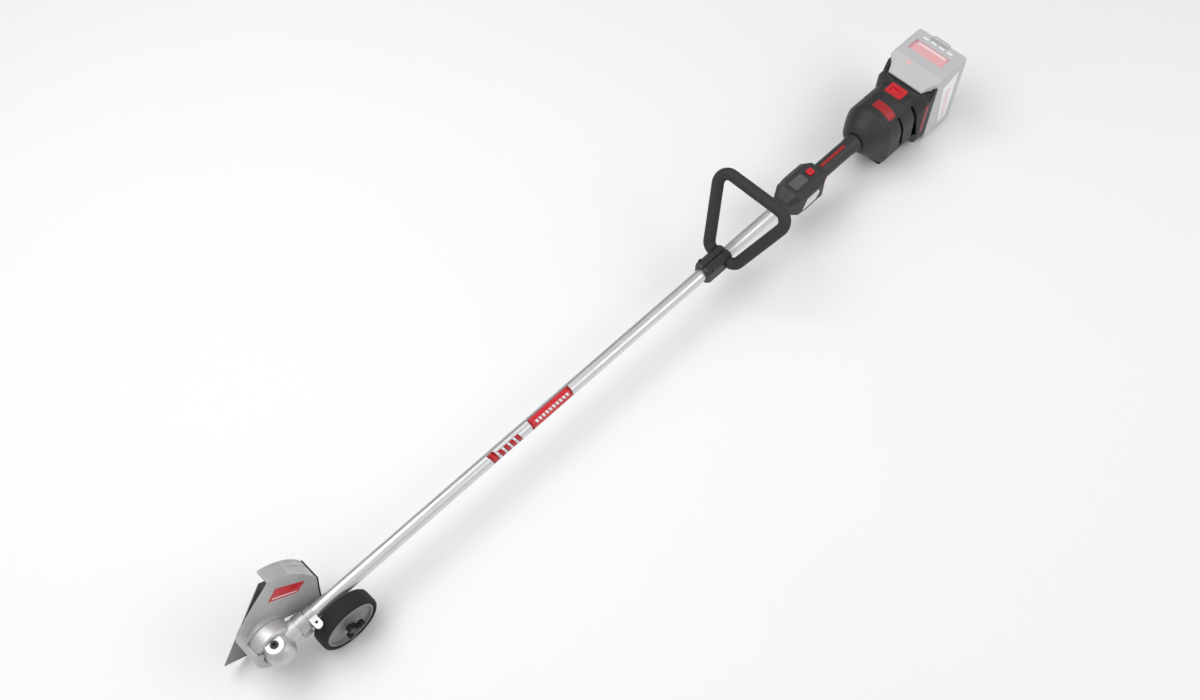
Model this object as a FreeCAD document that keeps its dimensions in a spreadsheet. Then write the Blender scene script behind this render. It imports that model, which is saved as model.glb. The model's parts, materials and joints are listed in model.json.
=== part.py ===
import FreeCAD, Part
import math
import os

import Sketcher
from FreeCAD import Placement, Rotation, Vector

# Battery lawn edger.  X runs along the shaft tube from the blade to the battery, Y points to the
# blade side and Z is up.  Sizes below are measured from the point where the blade spindle's axis
# crosses the tube's axis; every sub-part is then moved so that the origin is on the floor, under
# the middle of the whole tool.

os.makedirs("parts", exist_ok=True)
doc = FreeCAD.newDocument("lawn_edger")

# ---------------------------------------------------------------- driving dimensions (mm, degrees)

DIMENSIONS = {
    # where the origin lies
    "origin_ahead": 841.7, "floor_drop": 96.5,
    # shaft tube and what runs in it
    "tube_radius": 12.7, "tube_bore": 11.2, "tube_front": 40.0, "tube_rear": 1502.0,
    "shaft_radius": 4.0, "shaft_front": 15.0, "shaft_rear": 1508.0,
    "liner_length": 30.0, "liner_pitch": 280.0, "liner_start": 120.0,
    # bevel gears: both pitch cones meet at the crossing of the two axes
    "gear_module": 1.5, "pinion_teeth": 12, "wheel_teeth": 20, "gear_small_end": 0.62,
    "gear_hub": 4.0, "tooth_height": 2.9, "tooth_share": 0.40,
    # gear case
    "case_radius": 27.0, "case_end": -36.0, "case_seam": 18.5, "flange_front": -2.0, "cavity_radius": 19.0,
    "cavity_end": -25.0, "socket_radius": 16.5, "socket_rear": 62.0,
    "small_bearing_radius": 11.0, "small_bearing_width": 7.0, "fit_gap": 0.03,
    "bearing_front": 21.5, "plug_ahead": -2.7, "plug_side": -9.7, "boss_radius": 16.5,
    "boss_top": 28.5, "plug_radius": 7.2, "plug_foot": 20.5, "plug_socket": 3.8,
    # spindle housing
    "drum_radius": 37.0, "drum_end": 48.0, "drum_wall": 4.0, "big_bearing_radius": 14.0,
    "big_bearing_width": 8.0, "bearing_near": 20.5, "bearing_far": 35.0,
    "pocket_inner": 20.0, "pocket_floor": 25.0, "case_bolt_circle": 26.6,
    # blade and spindle
    "spindle_radius": 6.0, "spindle_front": 9.5, "spindle_end": 75.0, "blade_length": 200.0,
    "blade_width": 50.0, "blade_thick": 2.0, "blade_plane": 60.0, "blade_angle": 54.35,
    "holder_radius": 25.0, "holder_near": 49.5, "washer_radius": 20.0, "washer_thick": 3.0,
    "nut_radius": 10.5, "nut_height": 8.0, "blade_notch": 3.5,
    # blade guard
    "guard_wall": 2.6, "guard_edge": 73.0, "guard_lean": 0.1875, "guard_level": 30.0,
    "guard_radius": 121.0, "collar_gap": 0.4, "collar_wall": 3.2,
    "skirt_inner": 28.0, "skirt_outer": 43.0, "skirt_reach": -10.0, "skirt_from": 148.0,
    "skirt_to": 262.0, "guard_floor_rear": -16.0,
    "flap_thick": 3.0, "flap_bottom": -70.0, "badge_thick": 0.8,
    # wheel and its bracket
    "wheel_ahead": 112.8, "wheel_height": -40.0, "wheel_near": -48.2, "wheel_far": -15.9,
    "tyre_radius": 56.5, "rim_radius": 47.6, "rim_lip": 5.0, "hub_radius": 12.0,
    "bushing_radius": 8.0, "axle_radius": 5.0, "web_thick": 4.0, "bracket_front": 63.5,
    "bracket_rear": 78.5, "bracket_ring": 15.5, "plate_near": -12.5, "plate_far": -8.5,
    "slot_travel": 25.0, "lug_low": 8.0, "lug_high": 12.0, "lug_reach": -34.0, "lug_hole": 2.6,
    "knob_radius": 21.0, "knob_near": -50.0, "knob_end": -61.0, "knob_lobe": 6.5,
    "knob_angle": 112.0,
    # loop handle and its clamp
    "clamp_front": 1029.0, "clamp_rear": 1096.0, "clamp_half": 19.0, "clamp_top": 20.5,
    "clamp_bottom": -19.0, "clamp_gap": 2.4, "pivot_ahead": 1085.0, "pivot_height": 5.0,
    "loop_tilt": 55.0, "loop_height": 146.5, "loop_top_half": 90.5, "loop_base_half": 33.0,
    "loop_base_bend": 19.0, "loop_top_bend": 22.0, "loop_core": 8.0, "loop_core_bore": 6.4,
    "loop_grip": 12.2, "core_end": 14.0, "grip_end": 19.4,
    # control housing and grip
    "neck_front": 1247.0, "neck_half": 16.5,
    "control_front": 1262.0, "control_rear": 1376.0, "control_half": 32.0, "control_top": 31.0,
    "control_bottom": -34.0, "shell_wall": 2.8, "grip_radius": 17.5, "grip_rear": 1488.6,
    "lock_ahead": 1345.0, "lock_half": 7.5, "lock_top": 34.0, "lock_foot": 22.0,
    "stripe_front": 1380.0, "stripe_rear": 1455.0, "stripe_half": 3.3,
    "panel_front": 1290.0, "panel_rear": 1328.0, "panel_half": 12.0,
    "trigger_pivot_ahead": 1350.0, "trigger_pivot_height": -22.0, "trigger_half": 6.5,
    "trigger_pin_radius": 2.0, "slot_gap": 0.5,
    # motor head
    "bell_front": 1490.0, "bell_rear": 1538.0, "bell_hub": 20.0,
    "head_half": 55.5, "head_top": 55.7, "head_bottom": -74.0, "dock_front": 1650.4,
    "dock_rear": 1667.0, "dock_half": 61.6, "dock_top": 57.0, "dock_bottom": -84.0,
    "wing_top": 67.0, "wing_width": 9.5, "foot_front": 1552.0, "foot_rear": 1624.0,
    "foot_half": 37.0, "button_front": 1597.0, "button_rear": 1627.0, "button_half": 20.0,
    "button_top": 56.2, "button_foot": 48.6, "insert_front": 1547.0, "insert_rear": 1570.0,
    "insert_from": -13.0, "insert_to": 40.0, "stator_radius": 44.0, "stator_bore": 25.5,
    "stator_front": 1548.0, "stator_rear": 1598.0, "rotor_radius": 24.8, "motor_shaft": 5.0,
    "motor_shaft_front": 1509.0, "motor_shaft_rear": 1636.0, "fan_radius": 42.0,
    "motor_bearing_front": 1530.5, "motor_bearing_rear": 1622.0,
    # battery
    "battery_rear": 1762.0, "battery_half": 61.6, "battery_top": 84.6, "battery_bottom": -89.5,
    "battery_seam": 1741.0, "nose_front": 1638.0, "nose_half": 42.0, "nose_low": 59.6,
    "nose_bend": 1654.0, "nose_bend_half": 48.0, "hump_top": 91.0,
    "slide_gap": 0.4, "rail_side": 34.0, "rail_half": 5.0, "rail_depth": 6.5, "case_wall": 3.0,
    "cell_radius": 10.5, "cell_length": 70.0, "cell_pitch": 22.0,
}

sheet = doc.addObject("Spreadsheet::Sheet", "Sizes")
for row, (alias, number) in enumerate(DIMENSIONS.items(), start=1):
    sheet.set(f"A{row}", alias)
    sheet.set(f"B{row}", str(number))
    sheet.setAlias(f"B{row}", alias)
doc.recompute()


class Size:
    """A number together with the spreadsheet formula that gives it."""

    def __init__(self, value, formula):
        self.value = value
        self.formula = formula

    def __float__(self):
        return float(self.value)

    def combine(self, other, sign, flipped=False):
        left, right = (Size.of(other), self) if flipped else (self, Size.of(other))
        value = {"+": left.value + right.value, "-": left.value - right.value,
                 "*": left.value * right.value,
                 "/": left.value / right.value if right.value else 0.0}[sign]
        return Size(value, f"({left.formula} {sign} {right.formula})")

    @staticmethod
    def of(other):
        return other if isinstance(other, Size) else Size(float(other), f"({float(other)})")

    def __add__(self, other):
        return self.combine(other, "+")

    def __radd__(self, other):
        return self.combine(other, "+", flipped=True)

    def __sub__(self, other):
        return self.combine(other, "-")

    def __rsub__(self, other):
        return self.combine(other, "-", flipped=True)

    def __mul__(self, other):
        return self.combine(other, "*")

    def __rmul__(self, other):
        return self.combine(other, "*", flipped=True)

    def __truediv__(self, other):
        return self.combine(other, "/")

    def __neg__(self):
        return self.combine(0.0, "-", flipped=True)


class Sizes:
    """Gives each cell of the sheet by its alias, as S.tube_radius."""

    def __getattr__(self, alias):
        return Size(sheet.get(alias), f"Sizes.{alias}")


S = Sizes()
sub_parts = []

# ------------------------------------------------------------------------------ general helpers

ALONG_TUBE = Rotation(Vector(0, 1, 0), 90)      # local Z becomes X
TO_BLADE = Rotation(Vector(1, 0, 0), -90)       # local Z becomes Y, local Y becomes -Z
FROM_BLADE = Rotation(Vector(1, 0, 0), 90)      # local Z becomes -Y, local Y becomes Z
UPRIGHT = Rotation()


def bind(thing, name, size):
    """Set a property and tie it to its formula."""
    size = Size.of(size)
    setattr(thing, name, size.value)
    thing.setExpression(name, size.formula)


def place(part, x, y, z, rotation):
    """Put a sub-part at a point given from the crossing of tube and spindle axes."""
    spot = (Size.of(x) - S.origin_ahead, Size.of(y), Size.of(z) + S.floor_drop)
    part.Placement = Placement(Vector(*[float(value) for value in spot]), rotation)
    for name, value in zip("xyz", spot):
        part.setExpression(f"Placement.Base.{name}", value.formula)


def new_body(label):
    body = doc.addObject("PartDesign::Body", label)
    body.Label = label
    sub_parts.append(body)
    return body


def new_sketch(body, role="XY_Plane", lift=None):
    sketch = body.newObject("Sketcher::SketchObject", f"{body.Label}_sketch")
    plane = next(item for item in body.Origin.OriginFeatures if item.Role == role)
    sketch.AttachmentSupport = (plane, [""])
    sketch.MapMode = "FlatFace"
    if lift is not None:
        sketch.setExpression("AttachmentOffset.Base.z", Size.of(lift).formula)
    return sketch


def pin_coordinate(sketch, kind, line, size):
    """Fix one coordinate of a line's first point."""
    size = Size.of(size)
    if size.value == 0.0:
        axis = -2 if kind == "DistanceX" else -1
        sketch.addConstraint(Sketcher.Constraint("PointOnObject", line, 1, axis))
        return
    index = sketch.addConstraint(Sketcher.Constraint(kind, -1, 1, line, 1, size.value))
    sketch.setExpression(f"Constraints[{index}]", size.formula)


def draw_outline(sketch, points):
    """A closed outline of straight lines through points of sizes."""
    corners = [Vector(float(u), float(v), 0) for u, v in points]
    first = sketch.GeometryCount
    for i, corner in enumerate(corners):
        sketch.addGeometry(Part.LineSegment(corner, corners[(i + 1) % len(corners)]))
    for i, (u, v) in enumerate(points):
        before = first + (i - 1) % len(points)
        sketch.addConstraint(Sketcher.Constraint("Coincident", before, 2, first + i, 1))
        pin_coordinate(sketch, "DistanceX", first + i, u)
        pin_coordinate(sketch, "DistanceY", first + i, v)


def draw_circle(sketch, u, v, radius):
    """A full circle whose centre and radius are sizes."""
    centre = Vector(float(u), float(v), 0)
    index = sketch.addGeometry(Part.Circle(centre, Vector(0, 0, 1), float(radius)))
    for kind, size, axis in (("DistanceX", Size.of(u), -2), ("DistanceY", Size.of(v), -1)):
        if size.value == 0.0:
            sketch.addConstraint(Sketcher.Constraint("PointOnObject", index, 3, axis))
        else:
            row = sketch.addConstraint(Sketcher.Constraint(kind, -1, 1, index, 3, size.value))
            sketch.setExpression(f"Constraints[{row}]", size.formula)
    row = sketch.addConstraint(Sketcher.Constraint("Radius", index, float(radius)))
    sketch.setExpression(f"Constraints[{row}]", Size.of(radius).formula)


def draw_polygon(sketch, sides, radius):
    """A regular polygon about the sketch's origin, given by its corner radius."""
    step = 2 * math.pi / sides
    draw_outline(sketch, [(radius * round(math.cos(i * step), 6),
                           radius * round(math.sin(i * step), 6)) for i in range(sides)])


def turn(body, points):
    """Revolve an outline of (radius, height) points about the body's Z axis."""
    sketch = new_sketch(body, "XZ_Plane")
    draw_outline(sketch, points)
    feature = body.newObject("PartDesign::Revolution", f"{body.Label}_turned")
    feature.Profile = sketch
    feature.ReferenceAxis = (sketch, ["V_Axis"])
    feature.Angle = 360
    sketch.Visibility = False
    return feature


def pad(body, sketch, length, middle=False):
    feature = body.newObject("PartDesign::Pad", f"{body.Label}_pad")
    feature.Profile = sketch
    bind(feature, "Length", length)
    if middle:
        feature.Midplane = True
    return feature


def pocket(body, sketch, length, middle=False, reverse=False):
    feature = body.newObject("PartDesign::Pocket", f"{body.Label}_pocket")
    feature.Profile = sketch
    bind(feature, "Length", length)
    feature.Midplane = middle
    feature.Reversed = reverse
    return feature


def round_edges(body, radius, chosen):
    """Fillet the edges of the body's tip for which chosen(edge) is true."""
    doc.recompute()
    tip = body.Tip
    names = [f"Edge{i}" for i, edge in enumerate(tip.Shape.Edges, start=1) if chosen(edge)]
    fillet = body.newObject("PartDesign::Fillet", f"{body.Label}_rounding")
    fillet.Base = (tip, names)
    fillet.Radius = float(radius)
    return fillet


def circle_of(edge):
    """The edge's circle, or None for any other edge."""
    try:
        curve = edge.Curve
    except TypeError:
        return None
    return curve if isinstance(curve, Part.Circle) else None


def turned(label, points, spot, rotation):
    """A sub-part that is one turned solid."""
    body = new_body(label)
    turn(body, points)
    place(body, *spot, rotation)
    return body


def ring_points(inner, outer, low, high):
    return [(inner, low), (outer, low), (outer, high), (inner, high)]


def shaped(label, shape):
    """A sub-part whose shape is made here from the sheet's sizes."""
    part = doc.addObject("Part::Feature", label)
    part.Label = label
    own = shape.Placement
    part.Shape = shape
    to_origin = Placement(Vector(-float(S.origin_ahead), 0, float(S.floor_drop)), UPRIGHT)
    part.Placement = to_origin.multiply(own)
    sub_parts.append(part)
    return part


def box(x0, x1, y0, y1, z0, z1):
    x0, x1, y0, y1, z0, z1 = [float(value) for value in (x0, x1, y0, y1, z0, z1)]
    y0, y1 = min(y0, y1), max(y0, y1)
    return Part.makeBox(x1 - x0, y1 - y0, z1 - z0, Vector(x0, y0, z0))


def cylinder(radius, start, end):
    start = Vector(*[float(value) for value in start])
    end = Vector(*[float(value) for value in end])
    return Part.makeCylinder(float(radius), (end - start).Length, start, end - start)


def x_cylinder(radius, x0, x1, y=0.0, z=0.0):
    return cylinder(radius, (x0, y, z), (x1, y, z))


def y_cylinder(radius, y0, y1, x=0.0, z=0.0):
    return cylinder(radius, (x, y0, z), (x, y1, z))


def z_cylinder(radius, z0, z1, x=0.0, y=0.0):
    return cylinder(radius, (x, y, z0), (x, y, z1))


def side_prism(points, y0, y1):
    """A prism whose outline is (x, z) points and which runs along Y."""
    corners = [Vector(float(x), float(y0), float(z)) for x, z in points]
    face = Part.Face(Part.makePolygon(corners + corners[:1]))
    return face.extrude(Vector(0, float(y1) - float(y0), 0))


def rounded_section(x, half, top, bottom, top_round, bottom_round):
    """A closed wire in the plane at x: a rectangle with its own top and bottom corner radii."""
    x, w, t, b = [float(value) for value in (x, half, top, bottom)]
    rt, rb = float(top_round), float(bottom_round)
    centres = [(w - rt, t - rt, rt, 45), (-w + rt, t - rt, rt, 135),
               (-w + rb, b + rb, rb, 225), (w - rb, b + rb, rb, 315)]
    arcs = []
    for y, z, r, angle in centres:
        ends = [Vector(x, y + r * math.cos(math.radians(a)), z + r * math.sin(math.radians(a)))
                for a in (angle - 45, angle, angle + 45)]
        arcs.append(Part.Arc(*ends).toShape())
    edges = []
    for i, arc in enumerate(arcs):
        following = arcs[(i + 1) % 4]
        edges.append(arc)
        edges.append(Part.makeLine(arc.Vertexes[-1].Point, following.Vertexes[0].Point))
    return Part.Wire(edges)


def chamfered_section(x, half, top, bottom, cut):
    """A closed wire in the plane at x: a rectangle with its corners cut at 45 degrees."""
    x, w, t, b, c = [float(value) for value in (x, half, top, bottom, cut)]
    points = [(w, t - c), (w - c, t), (-w + c, t), (-w, t - c),
              (-w, b + c), (-w + c, b), (w - c, b), (w, b + c)]
    corners = [Vector(x, y, z) for y, z in points]
    return Part.makePolygon(corners + corners[:1])


def loft(sections, ruled=True):
    return Part.makeLoft(sections, True, ruled)


def screws(spots, direction, head_radius, head_height, shank_radius, length):
    """A group of cap screws: head seats at each spot, shank running along the direction."""
    direction = Vector(*direction)
    solids = []
    for spot in spots:
        seat = Vector(*[float(value) for value in spot])
        head_end = seat - direction * head_height
        shank_end = seat + direction * length
        head = cylinder(head_radius, head_end, seat)
        socket = cylinder(head_radius * 0.5, head_end, head_end + direction * head_height * 0.5)
        solids.append(head.cut(socket).fuse(cylinder(shank_radius, seat, shank_end)).removeSplitter())
    return Part.makeCompound(solids)


# ------------------------------------------------------------------------------ tube and drive

def make_tube():
    turned("shaft_tube", ring_points(S.tube_bore, S.tube_radius, S.tube_front, S.tube_rear),
           (0, 0, 0), ALONG_TUBE)


def make_drive_shaft():
    turned("drive_shaft", [(0, S.shaft_front), (S.shaft_radius, S.shaft_front),
                           (S.shaft_radius, S.shaft_rear), (0, S.shaft_rear)],
           (0, 0, 0), ALONG_TUBE)


def make_liners():
    """Plastic bushes that keep the long shaft in the middle of the tube."""
    count = 5
    bushes = []
    for i in range(count):
        start = float(S.liner_start + S.liner_pitch * i)
        outer = x_cylinder(S.tube_bore - S.fit_gap, start, start + float(S.liner_length))
        bushes.append(outer.cut(x_cylinder(S.shaft_radius + 0.05, start - 1,
                                           start + float(S.liner_length) + 1)))
    shaped("shaft_liners", Part.makeCompound(bushes))


def bevel_teeth(teeth, mate_teeth, axis, start_angle):
    """A straight bevel gear whose cones meet at the axes' crossing; axis is where it faces."""
    module = float(S.gear_module)
    pitch = module * teeth / 2
    distance = module * mate_teeth / 2
    slant = math.hypot(pitch, distance) / distance
    tip = pitch + 0.42 * float(S.tooth_height) * slant
    root = pitch - 0.58 * float(S.tooth_height) * slant
    share = float(S.tooth_share)
    corners = []
    for i in range(teeth):
        middle = start_angle + 2 * math.pi * i / teeth
        half = math.pi / teeth
        for radius, side in ((root, -share * 1.45), (tip, -share * 0.55),
                             (tip, share * 0.55), (root, share * 1.45)):
            angle = middle + side * half
            corners.append((radius * math.cos(angle), radius * math.sin(angle)))
    wires = []
    for scale in (1.0, float(S.gear_small_end)):
        points = [Vector(u * scale, v * scale, distance * scale) for u, v in corners]
        wires.append(Part.makePolygon(points + points[:1]))
    teeth_solid = loft(wires)
    hub = z_cylinder(root * 0.93, distance, distance + float(S.gear_hub))
    gear = teeth_solid.fuse(hub)
    gear.Placement = Placement(Vector(), Rotation(Vector(0, 0, 1), Vector(*axis)))
    return gear


def make_gears():
    """Pinion on the drive shaft and the larger bevel wheel on the blade spindle, in mesh."""
    few, many = int(float(S.pinion_teeth)), int(float(S.wheel_teeth))
    pinion = bevel_teeth(few, many, (1, 0, 0), 0.0)
    pinion = pinion.cut(x_cylinder(S.shaft_radius, S.shaft_front, S.shaft_front + 20))
    shaped("drive_pinion", pinion)
    wheel = bevel_teeth(many, few, (0, 1, 0), math.pi / many)
    wheel = wheel.cut(y_cylinder(S.spindle_radius, S.spindle_front, S.spindle_front + 20))
    shaped("bevel_wheel", wheel)


def bearing(inner, outer, low, high):
    """A sealed ball bearing: two rings with a shield set back between them."""
    inner, outer, low, high = [float(value) for value in (inner, outer, low, high)]
    land = (outer - inner) * 0.24
    points = [(inner, low), (inner + land, low), (inner + land, low + 0.6),
              (outer - land, low + 0.6), (outer - land, low), (outer, low), (outer, high),
              (outer - land, high), (outer - land, high - 0.6), (inner + land, high - 0.6),
              (inner + land, high), (inner, high)]
    corners = [Vector(r, 0, height) for r, height in points]
    return Part.Face(Part.makePolygon(corners + corners[:1])).revolve(Vector(), Vector(0, 0, 1), 360)


def bearing_group(label, shaft, outer, width, starts, rotation):
    solids = []
    for start in starts:
        solid = bearing(shaft + S.fit_gap, outer, float(start), float(start) + float(width))
        solid.Placement = Placement(Vector(), rotation)
        solids.append(solid)
    shaped(label, Part.makeCompound(solids))


def make_bearings():
    starts = (S.bearing_front, S.bearing_front + S.small_bearing_width + 1.5,
              S.motor_bearing_front, S.motor_bearing_rear)
    bearing_group("shaft_bearings", S.shaft_radius, S.small_bearing_radius,
                  S.small_bearing_width, starts, ALONG_TUBE)
    bearing_group("spindle_bearings", S.spindle_radius, S.big_bearing_radius,
                  S.big_bearing_width, (S.bearing_near, S.bearing_far), TO_BLADE)


# ------------------------------------------------------------------------------ gear case

def case_bolt_spots(depth):
    radius = float(S.case_bolt_circle)
    return [(radius * math.cos(math.radians(a)), depth, radius * math.sin(math.radians(a)))
            for a in (45, 135, 225, 315)]


def make_gear_case():
    """Domed barrel about the spindle, socket for the tube and a boss for the grease plug."""
    end, radius, seam = float(S.case_end), float(S.case_radius), float(S.case_seam)
    flat = 9.0
    dome = [Part.makeLine(Vector(0, end, 0), Vector(flat, end, 0)),
            Part.Arc(Vector(flat, end, 0), Vector(radius * 0.72, end + 5.5, 0),
                     Vector(radius * 0.92, end + 19, 0)).toShape(),
            Part.makeLine(Vector(radius * 0.92, end + 19, 0), Vector(radius, end + 30, 0)),
            Part.makeLine(Vector(radius, end + 30, 0), Vector(radius, seam, 0)),
            Part.makeLine(Vector(radius, seam, 0), Vector(0, seam, 0)),
            Part.makeLine(Vector(0, seam, 0), Vector(0, end, 0))]
    barrel = Part.Face(Part.Wire(dome)).revolve(Vector(), Vector(0, 1, 0), 360)
    flange = y_cylinder(S.drum_radius, S.flange_front, seam)
    flange = flange.makeFillet(5.0, [edge for edge in flange.Edges if circle_of(edge)
                                     and circle_of(edge).Center.y < seam - 1])
    socket = x_cylinder(S.socket_radius, 8, S.socket_rear)
    collar = x_cylinder(S.socket_radius + 1.6, 8, 42)
    boss = z_cylinder(S.boss_radius, 5, S.boss_top, S.plug_ahead, S.plug_side)
    boss = boss.makeFillet(1.5, [edge for edge in boss.Edges if circle_of(edge)
                                 and circle_of(edge).Center.z > float(S.boss_top) - 0.1])
    case = barrel.fuse([flange, socket, collar, boss])
    hollow = [y_cylinder(S.cavity_radius, S.cavity_end, seam + 1),
              x_cylinder(S.small_bearing_radius + S.fit_gap, 0, S.tube_front),
              x_cylinder(S.tube_radius + S.fit_gap, S.tube_front - 0.2, S.socket_rear + 1),
              z_cylinder(S.plug_radius + 0.05, S.plug_foot, S.boss_top + 1,
                         S.plug_ahead, S.plug_side)]
    hollow += [y_cylinder(2.05, seam - 13, seam + 1, x, z) for x, _, z in case_bolt_spots(0)]
    shaped("gear_case", case.cut(hollow))


def make_grease_plug():
    body = turned("grease_plug", [(0, 0), (S.plug_radius - 1.0, 0), (S.plug_radius, 1.0),
                                  (S.plug_radius, S.boss_top - S.plug_foot - 0.6),
                                  (S.plug_radius - 0.6, S.boss_top - S.plug_foot),
                                  (0, S.boss_top - S.plug_foot)],
                  (S.plug_ahead, S.plug_side, S.plug_foot), UPRIGHT)
    sketch = new_sketch(body, "XY_Plane", S.boss_top - S.plug_foot)
    draw_polygon(sketch, 6, S.plug_socket)
    pocket(body, sketch, 4.5)


def make_spindle_housing():
    """Round drum bolted to the gear case, with the seats of the spindle bearings."""
    near, far = float(S.case_seam), float(S.drum_end)
    drum = y_cylinder(S.drum_radius, near, far)
    ring_seat = S.big_bearing_radius + S.fit_gap
    hollow = [y_cylinder(S.big_bearing_radius - 2.0, near - 1, far + 1),
              y_cylinder(ring_seat, near - 1, S.bearing_near + S.big_bearing_width + 0.2),
              y_cylinder(ring_seat, S.bearing_far - 0.2, far + 1)]
    recess = y_cylinder(S.drum_radius - S.drum_wall, S.pocket_floor, far + 1)
    hollow.append(recess.cut(y_cylinder(S.pocket_inner, S.pocket_floor - 1, far + 2)))
    hollow += [y_cylinder(2.2, near - 1, S.pocket_floor + 1, x, z)
               for x, _, z in case_bolt_spots(0)]
    hollow += [y_cylinder(1.55, far - 9, far + 1, x, z) for x, _, z in guard_screw_spots(0)]
    shaped("spindle_housing", drum.cut(hollow))
    shaped("case_bolts", screws(case_bolt_spots(float(S.pocket_floor)), (0, -1, 0),
                                3.2, 3.6, 1.95, 18.0))


# ------------------------------------------------------------------------------ blade

def make_spindle():
    step = float(S.holder_near)
    points = [(0, S.spindle_front), (S.spindle_radius, S.spindle_front),
              (S.spindle_radius, S.spindle_end - 1), (S.spindle_radius - 1, S.spindle_end),
              (0, S.spindle_end)]
    turned("blade_spindle", points, (0, 0, 0), TO_BLADE)
    low = S.blade_plane - S.blade_thick / 2
    turned("blade_holder", [(S.spindle_radius, step), (S.holder_radius - 8, step),
                            (S.holder_radius, low - 4), (S.holder_radius, low),
                            (S.spindle_radius, low)], (0, 0, 0), TO_BLADE)
    high = S.blade_plane + S.blade_thick / 2
    turned("blade_washer", [(S.spindle_radius, high), (S.washer_radius, high),
                            (S.washer_radius - 1.0, high + S.washer_thick),
                            (S.spindle_radius, high + S.washer_thick)], (0, 0, 0), TO_BLADE)
    nut = new_body("blade_nut")
    sketch = new_sketch(nut)
    draw_polygon(sketch, 6, S.nut_radius)
    draw_circle(sketch, 0, 0, S.spindle_radius)
    pad(nut, sketch, S.nut_height)
    place(nut, 0, high + S.washer_thick, 0, TO_BLADE)


def make_blade():
    """Flat rectangular edging blade with a ground notch in each end."""
    body = new_body("edger_blade")
    sketch = new_sketch(body)
    half, side, notch = S.blade_length / 2, S.blade_width / 2, S.blade_notch
    draw_outline(sketch, [(-half, -side), (half, -side), (half, side), (-half, side)])
    draw_circle(sketch, 0, 0, S.spindle_radius)
    pad(body, sketch, S.blade_thick, middle=True)
    edge_slots = new_sketch(body)
    draw_circle(edge_slots, half * 0.62, 0, notch)
    draw_circle(edge_slots, -half * 0.62, 0, notch)
    pocket(body, edge_slots, S.blade_thick * 2, middle=True)
    spin = Rotation(Vector(0, 1, 0), -float(S.blade_angle))
    place(body, 0, S.blade_plane, 0, spin * FROM_BLADE)


# ------------------------------------------------------------------------------ blade guard

def guard_screw_spots(depth):
    radius = float(S.drum_radius - S.drum_wall / 2)
    return [(radius * math.cos(math.radians(a)), depth, radius * math.sin(math.radians(a)))
            for a in (20, 75, 130)]


def leaning_slab(near_shift, far):
    """The space between the guard's leaning side plane, moved by near_shift, and far."""
    lean, level = float(S.guard_lean), float(S.guard_level)
    reach = 220.0
    low_y = level + (-reach - level) * lean + float(near_shift)
    high_y = level + (reach - level) * lean + float(near_shift)
    corners = [Vector(-reach, low_y, -reach), Vector(-reach, high_y, reach),
               Vector(-reach, float(far), reach), Vector(-reach, float(far), -reach)]
    return Part.Face(Part.makePolygon(corners + corners[:1])).extrude(Vector(2.2 * reach, 0, 0))


def guard_outline(inset):
    """Top and rear run of the guard as edges from its front top corner to its rear foot."""
    radius = float(S.guard_radius) - inset
    rear_angle, top_angle = math.radians(14.5), math.radians(58.0)
    middle = (rear_angle + top_angle) / 2
    front = Vector(50, 0, 109.5 - inset)
    top = Vector(radius * math.cos(top_angle), 0, radius * math.sin(top_angle))
    crown = Vector(radius * math.cos(middle), 0, radius * math.sin(middle))
    rear = Vector(radius * math.cos(rear_angle), 0, radius * math.sin(rear_angle))
    waist = Vector(111.5 - inset, 0, 9)
    foot = Vector(106.0 - inset, 0, float(S.guard_floor_rear))
    brow = Part.makeLine(front, top)
    crown_arc = Part.Arc(top, crown, rear).toShape()
    return [brow, crown_arc, Part.makeLine(rear, waist), Part.makeLine(waist, foot)], front, foot


def close_outline(edges, start, end, others):
    """Join the run's end back to its start through other (x, z) points, as a prism along Y."""
    points = [end] + [Vector(x, 0, z) for x, z in others] + [start]
    lines = [Part.makeLine(a, b) for a, b in zip(points, points[1:])]
    face = Part.Face(Part.Wire(edges + lines))
    face.translate(Vector(0, -90, 0))
    return face.extrude(Vector(0, 220, 0))


def fan_prism(from_angle, to_angle, y0, y1):
    """A wide wedge about the spindle axis; angles run from +X towards +Z."""
    steps = 6
    fan = [(0, 0)]
    for i in range(steps + 1):
        angle = math.radians(from_angle + (to_angle - from_angle) * i / steps)
        fan.append((250 * math.cos(angle), 250 * math.sin(angle)))
    return side_prism(fan, y0, y1)


def guard_panels():
    """Shallow sunk panels of the guard's top, two each side of a rib, as solids to cut away."""
    depth = 0.9
    layers = []
    for inset in (0.0, depth):
        edges, front, foot = guard_outline(inset)
        layers.append(close_outline(edges, front, foot, [(foot.x, -60), (-90, -60), (-90, front.z)]))
    layer = layers[0].cut(layers[1])
    near_row = layer.common(leaning_slab(4.5, 57.6))
    far_row = layer.common(box(-100, 200, 60.0, float(S.guard_edge) - 3, -100, 200))
    panels = []
    for row in (near_row, far_row):
        for from_angle, to_angle in ((18.0, 41.8), (45.0, 63.2)):
            panels.append(row.common(fan_prism(from_angle, to_angle, -90, 130)))
    return panels


def make_skirt(inner):
    """Skid skirt of the guard, wrapped round the front and the bottom of the drum."""
    reach, far = float(S.skirt_reach), float(S.drum_end)
    skirt = y_cylinder(S.skirt_outer, reach, far).cut(y_cylinder(S.skirt_inner, reach - 1, far + 1))
    rims = [edge for edge in skirt.Edges if circle_of(edge)
            and circle_of(edge).Center.y < reach + 1]
    skirt = skirt.makeFillet(4.0, rims)
    skirt = skirt.cut(y_cylinder(inner, float(S.flange_front) - 0.5, far + 1))
    return skirt.common(fan_prism(float(S.skirt_from), float(S.skirt_to), reach - 1, far + 1))


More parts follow.
